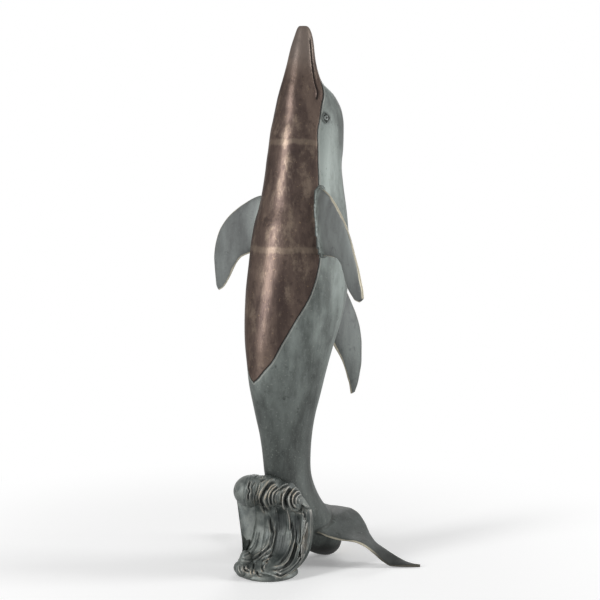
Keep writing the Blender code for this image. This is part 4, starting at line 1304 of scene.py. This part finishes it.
def patina_wear_and_painted_shade(tree, green, height, cloud):
    """Fins greyer than the trunk with pale rims, painted shade where they grow out of the body, and painted
    shade that turns the heel nearly black.
    """
    fin = attribute(tree, "fin_mm")
    blade = maths(tree, "MULTIPLY", ramp(tree, fin, 1.0, 14.0), ramp(tree, height, 0.3, 0.5, 0.25, 0.6))
    green = blend_colour(tree, blade, green, FIN_GREY)
    rim = wander(tree, attribute(tree, "rim_mm"), cloud, 9.0)
    green = blend_colour(tree, ramp(tree, rim, 3.4, 1.2), green, RIM_WORN)
    # Painted shade along the crease where the fins meet the body
    root = ramp(tree, maths(tree, "ABSOLUTE", maths(tree, "ADD", fin, 1.0)), 5.0, 1.0)
    green = cover(tree, green, root, 0.75, FIN_ROOT_PAINTED_SHADE)
    # Painted shade on the heel: the lowest few centimetres go nearly black
    low = maths(tree, "ADD", height, maths(tree, "MULTIPLY", cloud, 0.02))
    return cover(tree, green, ramp(tree, low, 0.048, 0.03), 0.85, HEEL_PAINTED_SHADE)


def bronze_colour(tree, height, cloud, spots, grain):
    """The belly's rubbed bronze, greyer on the beak, with pale welds across it."""
    brown = blend_colour(tree, ramp(tree, cloud, 0.35, 0.7), BRONZE_LOW, BRONZE_HIGH)
    patches = noise(tree, place_of(tree, (1.0, 1.0, 0.55)), 38.0, 8.0, 0.72)
    brown = cover(tree, brown, ramp(tree, patches, 0.5, 0.68), 0.6, BRONZE_PATCH)
    brown = cover(tree, brown, ramp(tree, spots, 0.54, 0.68), 0.5, BRONZE_SPOT)
    brown = cover(tree, brown, ramp(tree, grain, 0.6, 0.74), 0.3, BRONZE_SPECK)
    brown = cover(tree, brown, ramp(tree, height, 0.84, 0.9), 0.5, BEAK_GREY)
    wavy = maths(tree, "ADD", height, maths(tree, "MULTIPLY", cloud, 0.02))
    for middle in WELD_BANDS:
        brown = cover(tree, brown, band(tree, wavy, middle, WELD_HALF), 0.22, WELD_PALE)
    return brown


def eye_colour(tree, colour):
    """A shade round the eye, a ring of painted shade in the groove between ball and lids, a pale ball and a
    dark pupil.
    """
    away = attribute(tree, "eye_mm")
    colour = cover(tree, colour, ramp(tree, away, 13.0, 7.0), 0.55, EYE_SHADE)
    # The first ring is painted shade in the groove between ball and lids
    for outer, inner, top in ((5.8, 4.8, EYE_GROOVE_PAINTED_SHADE), (5.0, 4.2, EYE_PALE), (3.6, 3.2, EYE_PUPIL)):
        colour = blend_colour(tree, ramp(tree, away, outer, inner), colour, top)
    return colour


def dolphin_material():
    """Verdigris brass on the back, head, tail and fins, and a rubbed brown bronze plate on the belly."""
    look, tree, shader = new_material("verdigris_brass")
    link = tree.links.new
    place = place_of(tree)
    cloud = noise(tree, place_of(tree, (1.0, 1.0, 0.35)), 26.0, 6.0, 0.62)
    grain = noise(tree, place, 260.0, 4.0, 0.65)
    spots = noise(tree, place, 60.0, 6.0, 0.7)
    plate = attribute(tree, "plate_mm")
    height = put(tree, "ShaderNodeSeparateXYZ", {0: place}).outputs[2]
    green = patina_wear_and_painted_shade(tree, patina_colour(tree, height, cloud, spots, grain), height, cloud)
    brown = bronze_colour(tree, height, cloud, spots, grain)

    edge = wander(tree, plate, grain, 1.2)
    on_plate = ramp(tree, edge, 0.5, -0.5)
    colour = blend_colour(tree, on_plate, green, brown)
    colour = cover(tree, colour, ramp(tree, maths(tree, "ABSOLUTE", edge), 1.8, 0.5), 0.85, LINE_DARK)
    # Painted highlight on the raised lip just off the plate's edge
    colour = cover(tree, colour, band(tree, edge, 3.0, 1.1), 0.35, SEAM_LIP_PAINTED_HIGHLIGHT)
    colour = cover(tree, colour, ramp(tree, attribute(tree, "gape_mm"), 2.6, 0.8), 0.85, LINE_DARK)
    link(eye_colour(tree, colour), shader.inputs["Base Color"])

    link(ramp(tree, on_plate, 0.0, 1.0, 0.35, 0.85), shader.inputs["Metallic"])
    dull = ramp(tree, on_plate, 0.0, 1.0, 0.44, 0.28)
    link(maths(tree, "ADD", dull, maths(tree, "MULTIPLY", cloud, 0.16)), shader.inputs["Roughness"])
    shader.inputs["Specular Tint"].default_value = GRAZING_TINT
    rough = bump(tree, grain, 0.5 * MM, 0.5)
    rough = bump(tree, cloud, 2.0 * MM, 0.4, rough)
    seam = ramp(tree, maths(tree, "ABSOLUTE", plate), 0.3, 1.8)
    link(bump(tree, seam, 1.2 * MM, 1.0, rough), shader.inputs["Normal"])
    return look


def wave_material():
    """Dark grey-green brass with black grooves, pale on the ridges and ochre where it is worn, with painted
    shade in the hollows under the curl.
    """
    look, tree, shader = new_material("dark_wave_brass")
    link = tree.links.new
    place = place_of(tree)
    cloud = noise(tree, place, 45.0, 5.0, 0.6)
    grain = noise(tree, place, 320.0, 4.0, 0.65)
    ridges = put(tree, "ShaderNodeNewGeometry").outputs["Pointiness"]
    colour = blend_colour(tree, ramp(tree, cloud, 0.35, 0.7), WAVE_LOW, WAVE_HIGH)
    worn = blend_colour(tree, ramp(tree, cloud, 0.45, 0.65), WAVE_WORN, WAVE_OCHRE)
    high = ramp(tree, maths(tree, "ADD", ridges, maths(tree, "MULTIPLY", grain, 0.04)), 0.53, 0.59)
    colour = cover(tree, colour, high, 0.8, worn)
    colour = cover(tree, colour, ramp(tree, attribute(tree, "lip_mm"), 0.25, 1.3), 0.4, worn)
    colour = cover(tree, colour, ramp(tree, attribute(tree, "groove_mm"), 0.4, 2.6), 0.85, WAVE_GROOVE)
    # Painted shade in the hollows under the curl
    colour = cover(tree, colour, attribute(tree, "hollow_painted_shade"), 0.75, WAVE_HOLLOW_PAINTED_SHADE)
    link(colour, shader.inputs["Base Color"])
    shader.inputs["Metallic"].default_value = 0.4
    link(ramp(tree, cloud, 0.3, 0.7, 0.4, 0.55), shader.inputs["Roughness"])
    link(bump(tree, grain, 0.5 * MM, 0.6), shader.inputs["Normal"])
    return look


def plain_metal(name, dull, bright, roughness):
    """A drawn or turned metal, a little dulled; roughness is its range."""
    look, tree, shader = new_material(name)
    place = place_of(tree)
    cloud = noise(tree, place, 90.0, 4.0, 0.6)
    colour = blend_colour(tree, ramp(tree, cloud, 0.35, 0.65), dull, bright)
    tree.links.new(colour, shader.inputs["Base Color"])
    shader.inputs["Metallic"].default_value = 0.9
    tree.links.new(ramp(tree, cloud, 0.3, 0.7, *roughness), shader.inputs["Roughness"])
    tree.links.new(bump(tree, noise(tree, place, 700.0), 0.1 * MM, 0.4), shader.inputs["Normal"])
    return look


def shown_rays(tree):
    """1 for rays from the camera and for reflected and transmitted ones, 0 for the light on things."""
    path = put(tree, "ShaderNodeLightPath")
    seen = maths(tree, "MAXIMUM", path.outputs["Is Camera Ray"], path.outputs["Is Glossy Ray"])
    return maths(tree, "MAXIMUM", seen, path.outputs["Is Transmission Ray"])


def make_world():
    """White behind the object, and a weaker even light on it."""
    world = bpy.data.worlds.new("studio")
    bpy.context.scene.world = world
    world.use_nodes = True
    tree = world.node_tree
    background = tree.nodes["Background"]
    background.inputs["Color"].default_value = WHITE
    tree.links.new(ramp(tree, shown_rays(tree), 0.0, 1.0, WORLD_LIGHT, 1.0), background.inputs["Strength"])


def make_lamps():
    """Soft lamps round the object."""
    for name, place, wide, high, power in LAMPS:
        light = bpy.data.lights.new(name, "AREA")
        light.shape = "RECTANGLE"
        light.size = wide
        light.size_y = high
        light.energy = power
        lamp = bpy.data.objects.new(name, light)
        bpy.context.scene.collection.objects.link(lamp)
        lamp.location = place
        lamp.rotation_euler = (LAMP_AIM - lamp.location).to_track_quat("-Z", "Y").to_euler()


def make_floor():
    """A pale plain floor that keeps the shadow and runs out into white."""
    turn = full_turn(FLOOR_SIDES)
    rim = np.stack([np.cos(turn), np.sin(turn), 0.0 * turn], axis=1) * FLOOR_RADIUS
    mesh = bpy.data.meshes.new("floor")
    mesh.from_pydata(rim.tolist(), [], [tuple(range(FLOOR_SIDES))])
    floor = bpy.data.objects.new("floor", mesh)
    bpy.context.scene.collection.objects.link(floor)
    look, tree, shader = new_material("floor")
    shader.inputs["Base Color"].default_value = FLOOR_GREY
    shader.inputs["Roughness"].default_value = 1.0
    shader.inputs["Specular IOR Level"].default_value = 0.0
    shader.inputs["Emission Color"].default_value = WHITE
    seen = shown_rays(tree)
    tree.links.new(maths(tree, "MULTIPLY", seen, FLOOR_LIFT), shader.inputs["Emission Strength"])
    white = put(tree, "ShaderNodeEmission", {"Color": WHITE, "Strength": 1.0})
    away = put(tree, "ShaderNodeVectorMath", {0: place_of(tree)}, operation="LENGTH").outputs["Value"]
    share = maths(tree, "MULTIPLY", ramp(tree, away, *FLOOR_FADE), seen)
    mix = put(tree, "ShaderNodeMixShader", {0: share, 1: shader.outputs[0], 2: white.outputs[0]})
    tree.links.new(mix.outputs[0], tree.nodes["Material Output"].inputs["Surface"])
    mesh.materials.append(look)


def make_camera():
    """The camera at the photograph's angle."""
    place, _, _, ahead = camera_frame()
    data = bpy.data.cameras.new("camera")
    data.lens = CAMERA_LENS
    data.sensor_width = CAMERA_SENSOR
    camera = bpy.data.objects.new("camera", data)
    bpy.context.scene.collection.objects.link(camera)
    camera.location = place
    camera.rotation_euler = Vector(ahead).to_track_quat("-Z", "Y").to_euler()
    bpy.context.scene.camera = camera


def dress(node, look):
    """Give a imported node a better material."""
    node.data.materials.clear()
    node.data.materials.append(look)


def main():
    """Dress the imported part, light it and set the camera."""
    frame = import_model()
    bpy.context.scene.view_settings.view_transform = "Standard"
    make_camera()
    make_world()
    make_lamps()
    make_floor()
    for thing, node, slot, look in (
        (make_dolphin(), "dolphin", "verdigris_brass", dolphin_material()),
        (make_wave(), "wave", "dark_wave_brass", wave_material()),
    ):
        thing.data.materials.clear()
        thing.data.materials.append(look)
        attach(thing, "root")
        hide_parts(node)
    dress(frame["nodes"]["water_tube"], plain_metal("copper_tube", *COPPER))
    dress(frame["nodes"]["inlet_fitting"], plain_metal("yellow_brass", *YELLOW_BRASS))


main()
